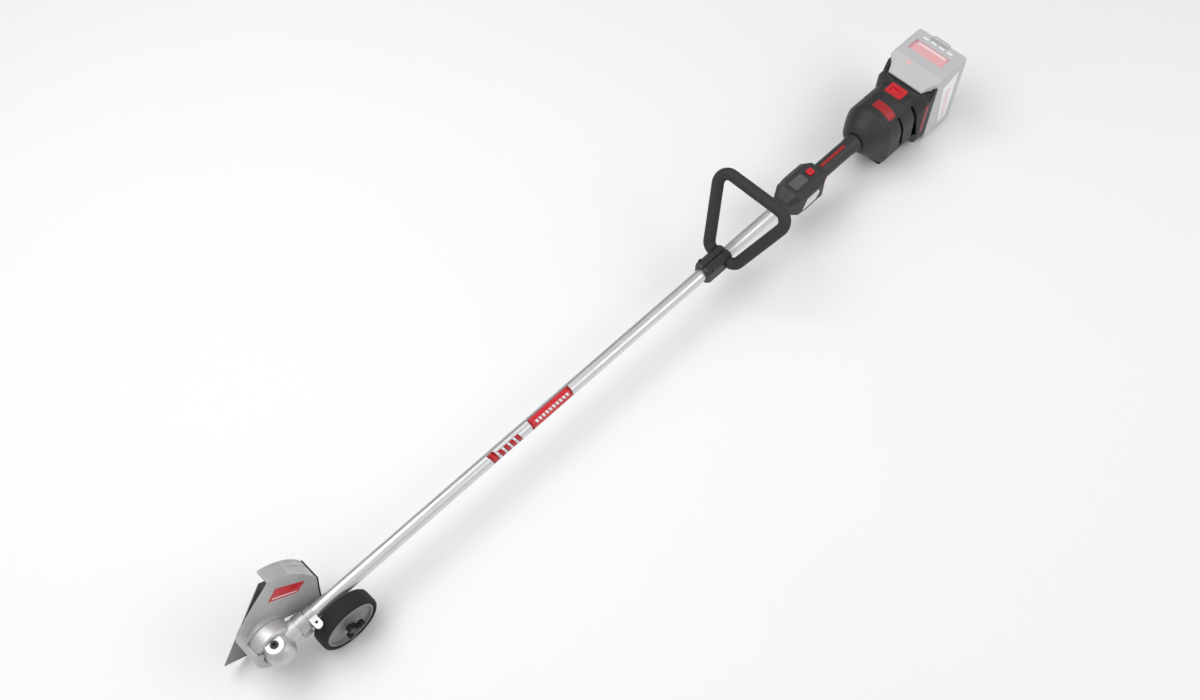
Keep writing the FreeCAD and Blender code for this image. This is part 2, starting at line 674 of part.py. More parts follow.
def make_guard():
    """Pressed guard: a leaning side plate, a rim over the blade, and a collar round the drum."""
    wall = float(S.guard_wall)
    edges, front, foot = guard_outline(0.0)
    skin = close_outline(edges, front, foot, [(87, -25), (38, 2.5), (0, 20), (-28, 36), (-31, 50),
                                              (-14, 68), (13.5, 86), (38.5, 100)])
    skin = skin.common(leaning_slab(0, S.guard_edge))
    edges, front, foot = guard_outline(wall)
    hollow = close_outline(edges, front, foot, [(foot.x, -60), (-90, -60), (-90, front.z)])
    hollow = hollow.common(leaning_slab(wall, S.guard_edge + 10))
    guard = skin.cut(hollow)
    inner = float(S.drum_radius + S.collar_gap)
    outer = inner + float(S.collar_wall)
    far = float(S.drum_end)
    guard = guard.cut(y_cylinder(inner, -60, 90))
    collar = y_cylinder(outer, 24, far + 3).cut(y_cylinder(inner, 23, far + 4))
    lip = y_cylinder(outer, far + 0.3, far + 3)
    lip = lip.cut(y_cylinder(float(S.drum_radius - S.drum_wall) - 1.0, far, far + 4))
    band = collar.fuse(lip).common(fan_prism(4, float(S.skirt_to), 20, 60))
    guard = guard.cut(guard_panels())
    guard = guard.fuse([band, make_skirt(inner)])
    guard = guard.cut([y_cylinder(1.7, far - 1, far + 4, x, z) for x, _, z in guard_screw_spots(0)])
    guard = guard.cut(flap_rivet_holes(1.55))
    shaped("blade_guard", guard.removeSplitter())
    shaped("guard_screws", screws([(x, far + 3, z) for x, _, z in guard_screw_spots(0)],
                                  (0, -1, 0), 2.8, 2.2, 1.5, 10.5))


def make_guard_badge():
    outline = [(32, 67.5), (53, 83), (98, 47.5), (78.5, 36.5)]
    plate = side_prism(outline, -40, 80).common(leaning_slab(-float(S.badge_thick), 90))
    plate = plate.cut(leaning_slab(0, 90))
    shaped("guard_badge", plate)


RIVET_ROWS = (34.0, 48.0, 62.0)


def flap_rivet_holes(radius):
    return [x_cylinder(radius, 100, 118, y, -8) for y in RIVET_ROWS]


def make_flap():
    """Rubber debris flap hung behind the guard's rear wall."""
    thick, low = float(S.flap_thick), float(S.flap_bottom)
    foot = 106.3
    outline = [(foot, -15.5), (111.9, 10), (116.9, 29), (116.9 + thick, 29), (111.9 + thick, 9.5),
               (foot + thick, -16), (foot + thick, low), (foot, low)]
    flap = side_prism(outline, -40, 80).common(leaning_slab(0, S.guard_edge))
    below = box(90, 130, 0, 22, low - 1, -17)
    flap = flap.cut(below).cut(flap_rivet_holes(1.55))
    shaped("debris_flap", flap)
    rivets = []
    for y in RIVET_ROWS:
        face = 108.1 + thick + 0.7
        stem = x_cylinder(1.5, 103.2, face + 1.0, y, -8)
        head = x_cylinder(3.2, face + 0.6, face + 2.2, y, -8)
        rivets.append(stem.fuse(head))
    shaped("flap_rivets", Part.makeCompound(rivets))


# ------------------------------------------------------------------------------ wheel

def wheel_spot():
    return S.wheel_ahead, 0, S.wheel_height


def make_wheel():
    near, far = -S.wheel_far, -S.wheel_near
    rim = S.rim_radius
    web_low = (near + far) / 2 - S.web_thick / 2 + 6
    web_high = web_low + S.web_thick
    turned("wheel_rim", [
        (S.bushing_radius, near + 1.0), (S.hub_radius, near + 1.0), (S.hub_radius + 1, web_low),
        (rim - S.rim_lip, web_low - 2), (rim - S.rim_lip + 1, near + 3), (rim, near + 3),
        (rim, far - 2.4), (rim - 1.6, far - 1.0), (rim - S.rim_lip + 1, far - 1.0),
        (rim - S.rim_lip, web_high + 2), (S.hub_radius + 1, web_high), (S.hub_radius, far - 3.0),
        (S.bushing_radius, far - 3.0)], wheel_spot(), FROM_BLADE)
    turned("wheel_tyre", [
        (rim, near + 2.6), (rim + 3, near), (S.tyre_radius - 3.4, near),
        (S.tyre_radius - 0.5, near + 3.2), (S.tyre_radius, near + 7.5),
        (S.tyre_radius, far - 7.5), (S.tyre_radius - 0.5, far - 3.2), (S.tyre_radius - 3.4, far),
        (rim + 3, far), (rim, far - 2.0)], wheel_spot(), FROM_BLADE)
    lip = float(S.bushing_radius)
    solids = []
    for low, high in ((near + 1.2, near + 12), (far - 14, far - 3.2)):
        solids.append(ring_solid(S.axle_radius + 0.05, lip, low, high))
    group = Part.makeCompound(solids)
    group.Placement = Placement(Vector(float(S.wheel_ahead), 0, float(S.wheel_height)), FROM_BLADE)
    shaped("wheel_bushings", Part.makeCompound([group]))


def ring_solid(inner, outer, low, high):
    outer_solid = z_cylinder(outer, low, high)
    return outer_solid.cut(z_cylinder(inner, float(low) - 1, float(high) + 1))


def make_axle():
    """Axle bolt with a flange each side of the bracket's slot and a threaded near end."""
    plate_low, plate_high = -S.plate_far, -S.plate_near
    flange = S.axle_radius + 3.6
    turned("wheel_axle", [
        (0, plate_low - 3.2), (flange, plate_low - 3.2), (flange, plate_low - 0.1),
        (S.axle_radius, plate_low - 0.1), (S.axle_radius, plate_high + 0.1),
        (flange, plate_high + 0.1), (flange, plate_high + 1.3), (S.axle_radius, plate_high + 1.3),
        (S.axle_radius, -S.wheel_near - 2.6), (4.0, -S.wheel_near - 2.6),
        (4.0, -S.knob_near + 6), (0, -S.knob_near + 6)], wheel_spot(), FROM_BLADE)


def make_bracket():
    """Clamp ring on the tube with a lug, and a slotted plate hanging beside the wheel."""
    x0, x1 = float(S.bracket_front), float(S.bracket_rear)
    ring = x_cylinder(S.bracket_ring, x0, x1)
    low, high = float(S.lug_low), float(S.lug_high)
    reach = float(S.lug_reach)
    width = x1 - x0
    middle = (x0 + x1) / 2
    lug = box(x0, x1, reach + width / 2, -4, low, high)
    lug = lug.fuse(z_cylinder(width / 2, low, high, middle, reach + width / 2))
    near, far = float(S.plate_near), float(S.plate_far)
    ahead, height = float(S.wheel_ahead), float(S.wheel_height)
    bottom = height - float(S.slot_travel)
    reach_round = 12.0
    plate = side_prism([(x0, -4), (x1, -4), (x1 + 2, -14.2), (ahead - 2, -15.5),
                        (ahead + reach_round, height + 12), (ahead + reach_round, bottom),
                        (ahead - reach_round, bottom), (ahead - reach_round - 4, height + 6),
                        (x0, -22)], near, far)
    plate = plate.fuse(y_cylinder(reach_round, near, far, ahead, bottom))
    bracket = ring.fuse([lug, plate]).removeSplitter()
    bore = x_cylinder(S.tube_radius + S.fit_gap, x0 - 1, x1 + 1)
    groove = box(x0 - 1, x1 + 1, -1.2, 1.2, -20, -5)
    slot = box(ahead - 5.15, ahead + 5.15, near - 1, far + 1, bottom, height)
    slot = slot.fuse([y_cylinder(5.15, near - 1, far + 1, ahead, bottom),
                      y_cylinder(5.15, near - 1, far + 1, ahead, height)])
    hole = z_cylinder(S.lug_hole, low - 1, high + 1, middle, reach + width / 2 + 5)
    clear_tube = x_cylinder(S.tube_radius + 0.6, x1 + 0.01, ahead + 30)
    shaped("wheel_bracket", bracket.cut([bore, groove, slot, hole, clear_tube]))


def make_strap():
    """Clamp round the rear of the socket, closed by a bolt from the blade side."""
    x0, x1 = 42.4, 60.5
    half = 19.0
    bolt_x, bolt_z = x0 + 10, -8.0
    block = box(x0, x1, -half, half, -19, -1)
    cap = x_cylinder(S.socket_radius + 1.6, x0 + 2, x1 - 1)
    cap = cap.common(box(x0, x1, -half, half, -1, 40))
    ears = box(x0 + 2, x1 - 1, -half, half, -1, 3)
    strap = block.fuse([cap, ears]).removeSplitter()
    strap = strap.cut([x_cylinder(S.socket_radius + S.fit_gap, x0 - 1, x1 + 1),
                       y_cylinder(1.95, half - 2.3, half + 1, bolt_x, bolt_z)])
    shaped("socket_clamp", strap)
    shaped("clamp_bolts", screws([(bolt_x, half, bolt_z)], (0, -1, 0), 3.4, 3.4, 1.9, 2.2))


def make_knob():
    """Three-lobed hand knob on the axle's threaded end."""
    near, end = float(S.knob_near), float(S.knob_end)
    lobe = float(S.knob_lobe)
    arm = float(S.knob_radius) - lobe
    x, z = float(S.wheel_ahead), float(S.wheel_height)
    knob = y_cylinder(7.4, near + 3.0, end, x, z)
    for i in range(3):
        angle = math.radians(float(S.knob_angle) + 120 * i)
        tip = (x + arm * math.cos(angle), z + arm * math.sin(angle))
        knob = knob.fuse(y_cylinder(lobe, near, end, *tip))
        web = box(0, arm, end + 2.2, near, -lobe * 0.72, lobe * 0.72)
        web.rotate(Vector(), Vector(0, 1, 0), -math.degrees(angle))
        web.translate(Vector(x, 0, z))
        knob = knob.fuse(web)
    knob = knob.removeSplitter()
    ends = [edge for edge in knob.Edges if edge.BoundBox.YLength < 0.01
            and abs(edge.BoundBox.YMin - end) < 0.01]
    knob = knob.makeFillet(1.4, ends)
    shaped("wheel_knob", knob.cut(y_cylinder(4.0, near + 4, near - 6, x, z)))


# ------------------------------------------------------------------------------ loop handle

def make_handle_clamp():
    """Two moulded halves that pinch the tube and hold the loop's ends."""
    x0, x1 = float(S.clamp_front), float(S.clamp_rear)
    half, top, bottom = float(S.clamp_half), float(S.clamp_top), float(S.clamp_bottom)
    block = loft([chamfered_section(x0, half - 2, top - 2, bottom + 2, 6),
                  chamfered_section(x0 + 5, half, top, bottom, 6),
                  chamfered_section(x1 - 3, half, top, bottom, 6),
                  chamfered_section(x1, half - 1.5, top - 1.5, bottom + 1.5, 6)])
    block = block.cut(x_cylinder(S.tube_radius + S.fit_gap, x0 - 1, x1 + 1))
    ahead, height = S.pivot_ahead, S.pivot_height
    for side in (1, -1):
        block = block.cut(y_cylinder(S.loop_core + 0.08, side * float(S.core_end) - side * 0.3,
                                     side * 30, ahead, height))
    spots = clamp_screw_spots()
    block = block.cut([y_cylinder(2.1, -30, 30, x, z) for x, z in spots])
    block = block.cut([y_cylinder(4.2, half - 4, 30, x, z) for x, z in spots])
    block = block.cut(box(x0 - 1, x1 + 1, -float(S.clamp_gap) / 2, float(S.clamp_gap) / 2, -30, 30))
    shaped("handle_clamp_left", block.common(box(x0, x1, 0, 40, -40, 40)))
    shaped("handle_clamp_right", block.common(box(x0, x1, -40, 0, -40, 40)))
    shaped("handle_clamp_screws", screws([(x, half - 4, z) for x, z in spots], (0, -1, 0),
                                         4.0, 3.6, 2.0, 30.0))


def clamp_screw_spots():
    x0, x1 = float(S.clamp_front), float(S.clamp_rear)
    return [(x0 + 12, -16.0 + 0.6), (x1 - 12, -16.0 + 0.6), (x0 + 12, 16.6)]


def loop_path(end):
    """Centre line of the loop in its own plane: in at one end, round, and out at the other."""
    top, base = float(S.loop_top_half), float(S.loop_base_half)
    height = float(S.loop_height)
    corners = [(-float(end), 0, 0), (-base, 0, float(S.loop_base_bend)),
               (-top, height, float(S.loop_top_bend)), (top, height, float(S.loop_top_bend)),
               (base, 0, float(S.loop_base_bend)), (float(end), 0, 0)]
    points = [Vector(0, y, v) for y, v, _ in corners]
    edges = []
    cursor = points[0]
    for i in range(1, len(points) - 1):
        back = (points[i - 1] - points[i]).normalize()
        ahead = (points[i + 1] - points[i]).normalize()
        radius = corners[i][2]
        half_turn = (math.pi - back.getAngle(ahead)) / 2
        run = radius * math.tan(half_turn)
        start, stop = points[i] + back * run, points[i] + ahead * run
        centre = points[i] + (back + ahead).normalize() * (radius / math.cos(half_turn))
        middle = centre + (points[i] - centre).normalize() * radius
        if (start - cursor).Length > 0.01:
            edges.append(Part.makeLine(cursor, start))
        edges.append(Part.Arc(start, middle, stop).toShape())
        cursor = stop
    edges.append(Part.makeLine(cursor, points[-1]))
    return Part.Wire(edges)


def loop_pipe(end, outer, bore):
    path = loop_path(end)
    rings = []
    for radius in (outer, bore):
        start = Vector(0, -float(end), 0)
        ring = Part.Wire(Part.makeCircle(float(radius), start, Vector(0, 1, 0)))
        rings.append(path.makePipeShell([ring], True, False))
    pipe = rings[0].cut(rings[1])
    lean = Rotation(Vector(0, 1, 0), 90 - float(S.loop_tilt))
    pipe.Placement = Placement(Vector(float(S.pivot_ahead), 0, float(S.pivot_height)), lean)
    return pipe


def make_loop():
    """Bent tube with a foam-like sleeve over it; its two ends turn in the clamp."""
    shaped("loop_tube", loop_pipe(S.core_end, S.loop_core, S.loop_core_bore))
    shaped("loop_grip", loop_pipe(S.grip_end, S.loop_grip, S.loop_core))


# ------------------------------------------------------------------------------ control housing

def control_sections(wall):
    x0, x1 = float(S.control_front), float(S.control_rear)
    half, top, bottom = [float(v) for v in (S.control_half, S.control_top, S.control_bottom)]
    neck = float(S.neck_half)
    rows = [(float(S.neck_front), neck, neck, -neck, 6), (x0, half - 12, top - 12, bottom + 12, 8),
            (x0 + 20, half - 1.5, top - 1.5, bottom + 1, 11), (x0 + 44, half, top, bottom, 11),
            (x1 - 22, half, top, bottom + 1, 11), (x1 - 7, half - 8, top - 5, bottom + 9, 9),
            (x1, half - 14, top - 13, bottom + 16, 7)]
    return [chamfered_section(x, w - wall, t - wall, b + wall, c - wall * 0.41)
            for x, w, t, b, c in rows]


def trigger_outline():
    x, z = float(S.trigger_pivot_ahead), float(S.trigger_pivot_height)
    return [(x - 6, z - 4.5), (x - 6, z + 5), (x + 5, z + 5), (x + 9, z - 1.5), (x + 54, z - 1.5),
            (x + 56, z - 5), (x + 50, z - 20), (x + 44, z - 23.5), (x + 34, z - 18),
            (x + 20, z - 13.5), (x + 4, z - 13.5)]


def make_control_housing():
    """Clamshell round the tube: a faceted control box that runs on as the rear grip."""
    wall = float(S.shell_wall)
    x0, x1 = float(S.control_front), float(S.control_rear)
    rear = float(S.grip_rear)
    shell = loft(control_sections(0.0))
    radius = float(S.grip_radius)
    profile = [Vector(x, 0, r) for x, r in ((x1 - 14, 0), (x1 - 14, radius), (rear - 22, radius),
                                            (rear, radius + 3), (rear, 0))]
    grip = Part.Face(Part.makePolygon(profile + profile[:1])).revolve(
        Vector(), Vector(1, 0, 0), 360)
    outer = shell.fuse(grip)
    inner = loft(control_sections(wall))
    inner = inner.common(box(x0 + wall + 3, x1 - 12, -60, 60, -60, 60))
    outer = outer.cut([inner, x_cylinder(S.tube_radius + S.fit_gap, x0 - 30, rear + 1)])
    lock = float(S.lock_half + S.slot_gap)
    ahead = float(S.lock_ahead)
    outer = outer.cut(box(ahead - lock, ahead + lock, -lock, lock, 20, 50))
    outer = outer.cut(box(S.panel_front, S.panel_rear, -float(S.panel_half), float(S.panel_half),
                          float(S.control_top) - 1.2, 50))
    outer = outer.cut(box(S.stripe_front, S.stripe_rear, -float(S.stripe_half),
                          float(S.stripe_half), float(S.grip_radius) - 1.6, 30))
    mouth = float(S.trigger_half + S.slot_gap)
    pivot_x, pivot_z = float(S.trigger_pivot_ahead), float(S.trigger_pivot_height)
    outer = outer.cut(box(pivot_x - 9, pivot_x + 60, -mouth, mouth, -60,
                          -float(S.tube_radius) - 0.4))
    posts = [y_cylinder(5.0, side * mouth, side * (float(S.control_half) - 1.2), pivot_x, pivot_z)
             for side in (1, -1)]
    outer = outer.fuse(posts)
    outer = outer.cut(y_cylinder(S.trigger_pin_radius + 0.03, -22, 22, pivot_x, pivot_z))
    for x, z in housing_screw_spots():
        outer = outer.fuse(y_cylinder(4.0, -26, 26, x, z).common(loft(control_sections(1.0))))
        outer = outer.cut([y_cylinder(1.5, -20, 40, x, z), y_cylinder(3.0, 20, 40, x, z)])
    outer = outer.cut(x_cylinder(S.tube_radius + S.fit_gap, x0 - 30, rear + 1))
    left = outer.common(box(x0 - 30, rear + 5, 0, 60, -60, 60))
    right = outer.common(box(x0 - 30, rear + 5, -60, 0, -60, 60))
    shaped("control_housing_left", largest(left))
    shaped("control_housing_right", largest(right))


def housing_screw_spots():
    x0 = float(S.control_front)
    return [(x0 + 30, 20.5), (x0 + 30, -24.0), (x0 + 97.5, 18.5)]


def largest(shape):
    return max(shape.Solids, key=lambda solid: solid.Volume)


def make_trigger():
    x, z = float(S.trigger_pivot_ahead), float(S.trigger_pivot_height)
    half = float(S.trigger_half)
    lever = side_prism(trigger_outline(), -half, half)
    corners = [edge for edge in lever.Edges if edge.BoundBox.YLength > half
               and edge.BoundBox.ZMin < z - 3 and edge.BoundBox.XMin > x + 30]
    lever = lever.makeFillet(1.6, corners)
    lever = lever.cut(y_cylinder(S.trigger_pin_radius + 0.04, -half - 1, half + 1, x, z))
    shaped("throttle_trigger", lever)
    turned("trigger_pin", [(0, -18.0), (S.trigger_pin_radius, -18.0),
                           (S.trigger_pin_radius, 18.0), (0, 18.0)],
           (S.trigger_pivot_ahead, 0, S.trigger_pivot_height), TO_BLADE)
    shaped("power_switch", box(1322, 1340, -9, 9, -29.6, -14).fuse(
        box(1324, 1328, -5, -3, -14, -13.2)))


def make_lock_button():
    """Lock-off button: a rounded square cap on a stem with a stop flange under the shell."""
    body = new_body("lock_button")
    half = S.lock_half
    sketch = new_sketch(body)
    draw_outline(sketch, [(-half, -half), (half, -half), (half, half), (-half, half)])
    pad(body, sketch, S.lock_top - S.lock_foot)
    round_edges(body, 2.6, lambda edge: edge.BoundBox.ZLength > 1)
    high = float(S.lock_top - S.lock_foot)
    round_edges(body, 1.2, lambda edge: edge.BoundBox.ZMin > high - 0.01)
    stop = new_sketch(body, "XY_Plane", S.control_top - S.shell_wall - S.lock_foot - 2.4)
    wide = half + 2.0
    draw_outline(stop, [(-wide, -half), (wide, -half), (wide, half), (-wide, half)])
    pad(body, stop, 2.0)
    place(body, S.lock_ahead, 0, S.lock_foot, UPRIGHT)


def make_trims():
    """Coloured inlays of the control housing."""
    panel = box(S.panel_front + 0.2, S.panel_rear - 0.2, -float(S.panel_half) + 0.2,
                float(S.panel_half) - 0.2, float(S.control_top) - 1.1,
                float(S.control_top) + 0.5)
    edges = [edge for edge in panel.Edges if edge.BoundBox.ZLength > 1]
    shaped("mode_panel", panel.makeFillet(3.0, edges))
    stripe = box(S.stripe_front + 0.1, S.stripe_rear - 0.1, -float(S.stripe_half) + 0.1,
                 float(S.stripe_half) - 0.1, float(S.grip_radius) - 1.5,
                 float(S.grip_radius) + 0.3)
    shaped("grip_stripe", stripe.makeFillet(1.2, [edge for edge in stripe.Edges
                                                  if edge.BoundBox.ZLength > 1]))
    side = float(S.control_half)
    outline = [(1292, -15), (1301, 11), (1336, 13), (1341, 2), (1332, -14)]
    shaped("control_badge", side_prism(outline, -side - 0.9, -side - 0.02))


def make_coil(label, x, y, z0, z1, radius, wire):
    turns = 5
    helix = Part.makeHelix((z1 - z0) / turns, z1 - z0, radius)
    ring = Part.Wire(Part.makeCircle(wire, Vector(radius, 0, 0), Vector(0, 1, 0)))
    coil = Part.Wire(helix).makePipeShell([ring], True, True)
    coil.translate(Vector(x, y, z0))
    shaped(label, coil)


# ------------------------------------------------------------------------------ motor head

def head_sections(wall, xs):
    half, top, bottom = [float(v) for v in (S.head_half, S.head_top, S.head_bottom)]
    return [rounded_section(x, half - wall, top - wall, bottom + wall, half - 1 - wall,
                            27 - wall) for x in xs]


# Sections of the bell: distance behind its front, half width, height above and depth below
# the tube's axis, and the radius of the lower corners.
BELL_SECTIONS = ((0.0, 25.0, 25.0, 25.0, 24.0), (4.5, 31.0, 31.0, 30.5, 28.0),
                 (12.0, 37.5, 38.5, 37.0, 30.0), (22.0, 43.5, 45.0, 46.0, 30.0),
                 (34.0, 49.5, 51.0, 59.0, 28.0), (48.0, 55.2, 55.4, 73.7, 27.0))


def bell_loft(inset, first, shift):
    """The bell's rounded form, drawn in by inset and moved back by shift."""
    wires = []
    for behind, half, top, depth, corner in BELL_SECTIONS[first:]:
        wires.append(rounded_section(float(S.bell_front) + behind + shift, half - inset,
                                     top - inset, inset - depth, half - 1 - inset,
                                     corner - inset))
    return loft(wires, False)


def make_bell():
    """Nose of the motor head, which swells from the grip's end to the head's full size."""
    front, rear = float(S.bell_front), float(S.bell_rear)
    wall = float(S.shell_wall)
    outer = bell_loft(0.0, 0, 0.0)
    inner = bell_loft(wall, 1, 1.5)
    web = bell_loft(wall * 0.5, 0, 0.0).common(box(rear - 5, rear - 2, -80, 80, -90, 80))
    nose_hub = x_cylinder(S.bell_hub, front, front + 28)
    hub = x_cylinder(S.small_bearing_radius + 4, rear - 16, rear)
    bell = outer.cut(inner).fuse([nose_hub, hub, web])
    bell = bell.cut([x_cylinder(S.tube_radius + S.fit_gap, front - 1, float(S.tube_rear) + 0.4),
                     x_cylinder(9.6, S.tube_rear, rear - 8),
                     x_cylinder(S.small_bearing_radius + S.fit_gap, rear - 9, rear + 1)])
    shaped("motor_bell", largest(bell))


def ring_sector(x0, x1, inner, outer, from_angle, to_angle, rounding):
    """Part of a tube round X with rounded corners; angles run from +Z towards -Y."""
    solid = x_cylinder(outer, x0, x1).cut(x_cylinder(inner, float(x0) - 1, float(x1) + 1))
    reach = 200.0
    steps = 4
    fan = [Vector(float(x0) - 1, 0, 0)]
    for i in range(steps + 1):
        angle = math.radians(from_angle + (to_angle - from_angle) * i / steps)
        fan.append(Vector(float(x0) - 1, -reach * math.sin(angle), reach * math.cos(angle)))
    keep = Part.Face(Part.makePolygon(fan + fan[:1])).extrude(
        Vector(float(x1) - float(x0) + 2, 0, 0))
    sector = solid.common(keep)
    thickness = float(outer) - float(inner)
    corners = [edge for edge in sector.Edges if edge.BoundBox.XLength < 0.01
               and abs(edge.Length - thickness) < 0.01]
    return sector.makeFillet(rounding, corners)


def head_screw_spots():
    return [(1550.0, -62.0), (1640.0, -62.0), (1640.0, 42.0)]


def button_crown():
    """Low flat-topped swelling of the arch that the release button sits in."""
    front, rear, half = float(S.button_front), float(S.button_rear), float(S.button_half)
    rings = []
    for spread, height in ((13.0, 40.0), (2.5, float(S.head_top) + 0.2)):
        x0, x1, y = front - spread, rear + spread, half + spread
        corners = [Vector(x0, -y, height), Vector(x1, -y, height), Vector(x1, y, height),
                   Vector(x0, y, height)]
        rings.append(Part.makePolygon(corners + corners[:1]))
    return loft(rings)


def make_motor_housing():
    """Clamshell round the motor, split down the middle, with slots to let cooling air out."""
    wall = float(S.shell_wall)
    start, end = float(S.bell_rear) + 0.2, float(S.dock_front) - 0.2
    step = 1632.0
    swell, full = step - 8, step + 5
    half, top, bottom = [float(v) for v in (S.head_half, S.head_top, S.head_bottom)]
    outer = loft(head_sections(0.0, (start, step)))
    shoulder = loft([rounded_section(swell, half - 0.05, top - 0.05, bottom + 0.05, half - 1.05, 27),
                     rounded_section(full, S.dock_half, S.dock_top, S.dock_bottom, 22, 18),
                     rounded_section(end, S.dock_half, S.dock_top, S.dock_bottom, 22, 18)])
    inner = loft(head_sections(wall, (start - 1, swell + wall + 0.5)))
    inner_rear = loft([rounded_section(swell + wall, half - wall, top - wall, bottom + wall,
                                       half - 1 - wall, 27 - wall),
                       rounded_section(full + 1.4, S.dock_half - wall, S.dock_top - wall,
                                       S.dock_bottom + wall, 19, 15),
                       rounded_section(end + 1, S.dock_half - wall, S.dock_top - wall,
                                       S.dock_bottom + wall, 19, 15)])
    crown = button_crown()
    shell = outer.fuse([shoulder, crown]).cut([inner, inner_rear])
    web = outer.common(box(1623, 1627, -80, 80, -90, 60))
    rib = outer.common(box(1572, 1575, -80, 80, -90, 60)).cut(
        x_cylinder(float(S.stator_radius) + 0.05, 1570, 1580))
    shell = shell.fuse([web, rib])
    cuts = [x_cylinder(S.small_bearing_radius + S.fit_gap, 1600, 1640)]
    half = float(S.button_half + S.slot_gap)
    cuts.append(box(float(S.button_front - S.slot_gap), float(S.button_rear + S.slot_gap),
                    -half, half, 30, 80))
    cuts.append(ring_sector(S.insert_front, S.insert_rear, S.head_top - 1.6, 70,
                            float(S.insert_from), float(S.insert_to), 4.2))
    for side in (1, -1):
        for top_x, top_z, width in ((1569, 44, 5), (1612, 38, 7)):
            cuts.append(side_prism([(top_x, top_z), (top_x + width, top_z),
                                    (top_x + 15 + width, top_z - 86),
                                    (top_x + 9, top_z - 86)], side * 40, side * 70))
    shell = shell.cut(cuts)
    for x, z in head_screw_spots():
        post = y_cylinder(4.5, -60, 60, x, z).common(outer.fuse(shoulder))
        shell = shell.fuse(post)
        shell = shell.cut([y_cylinder(1.8, -24, 80, x, z), y_cylinder(3.6, 28, 80, x, z)])
    left = shell.common(box(start - 2, end + 2, 0, 90, -120, 90))
    right = shell.common(box(start - 2, end + 2, -90, 0, -120, 90))
    shaped("motor_housing_left", largest(left))
    shaped("motor_housing_right", largest(right))
    control = screws([(x, 20, z) for x, z in housing_screw_spots()], (0, -1, 0),
                     2.8, 2.4, 1.4, 32.0)
    head = screws([(x, 28, z) for x, z in head_screw_spots()], (0, -1, 0), 3.4, 3.0, 1.7, 46.0)
    shaped("housing_screws", Part.makeCompound(control.Solids + head.Solids))
    shaped("top_insert", ring_sector(S.insert_front + 0.2, S.insert_rear - 0.2, S.head_top - 1.5,
                                     S.head_top + 0.4, float(S.insert_from) + 0.2,
                                     float(S.insert_to) - 0.2, 4.0))


def make_dock():
    """Rear frame of the motor head with its two upright rails for the battery."""
    x0, x1 = float(S.dock_front), float(S.dock_rear)
    half, top, bottom = float(S.dock_half), float(S.dock_top), float(S.dock_bottom)
    frame = loft([rounded_section(x0, half, top, bottom, 22, 18),
                  rounded_section(x1, half, top, bottom, 12, 14)])
    wing_top, width = float(S.wing_top), float(S.wing_width)
    for side in (1, -1):
        outer_y, inner_y = side * half, side * (half - width)
        wing = Part.Face(Part.makePolygon([
            Vector(x0, min(outer_y, inner_y), 20), Vector(x1, min(outer_y, inner_y), 20),
            Vector(x1, min(outer_y, inner_y), wing_top), Vector(x1 - 7, min(outer_y, inner_y),
                                                              wing_top),
            Vector(x0, min(outer_y, inner_y), top - 16), Vector(x0, min(outer_y, inner_y), 20)]))
        frame = frame.fuse(wing.extrude(Vector(0, width, 0)))
        rail_y = side * float(S.rail_side)
        rail_half = float(S.rail_half)
        neck = box(x1 - 1, x1 + 4, rail_y - rail_half * 0.55, rail_y + rail_half * 0.55, -70, 40)
        head = box(x1 + 3, x1 + float(S.rail_depth), rail_y - rail_half, rail_y + rail_half,
                   -70, 40)
        frame = frame.fuse([neck, head])
    frame = frame.cut([box(x0 - 1, x1 - 5, -40, 40, -66, 40), nose_plan(0.4, 58.0)])
    shaped("battery_dock", frame.removeSplitter())
    block = box(x1, x1 + 7, -11, 11, -58, -18)
    shaped("terminal_block", block.cut([box(x1 + 2, x1 + 8, y - 1.2, y + 1.2, -59, -24)
                                        for y in (-6.5, 0, 6.5)]))


def make_foot():
    """Stand moulded under the head, so that the tool rests level."""
    x0, x1, half = float(S.foot_front), float(S.foot_rear), float(S.foot_half)
    top, floor = float(S.head_bottom), -float(S.floor_drop)
    foot = box(x0 + 4, x1 - 4, -half + 12, half - 12, floor + 5, top - 0.05)
    sole = box(x0, x1, -half, half, floor, floor + 5)
    sole = sole.makeFillet(4.0, [edge for edge in sole.Edges if edge.BoundBox.ZLength > 1])
    ribs = [side_prism([(x - 2, top - 0.05), (x + 2, top - 0.05), (x + 2, floor + 5),
                        (x - 2, floor + 5)], -half + 14, half - 14) for x in (x0 + 8, x1 - 8)]
    shaped("rest_foot", sole.fuse([foot] + ribs).removeSplitter())


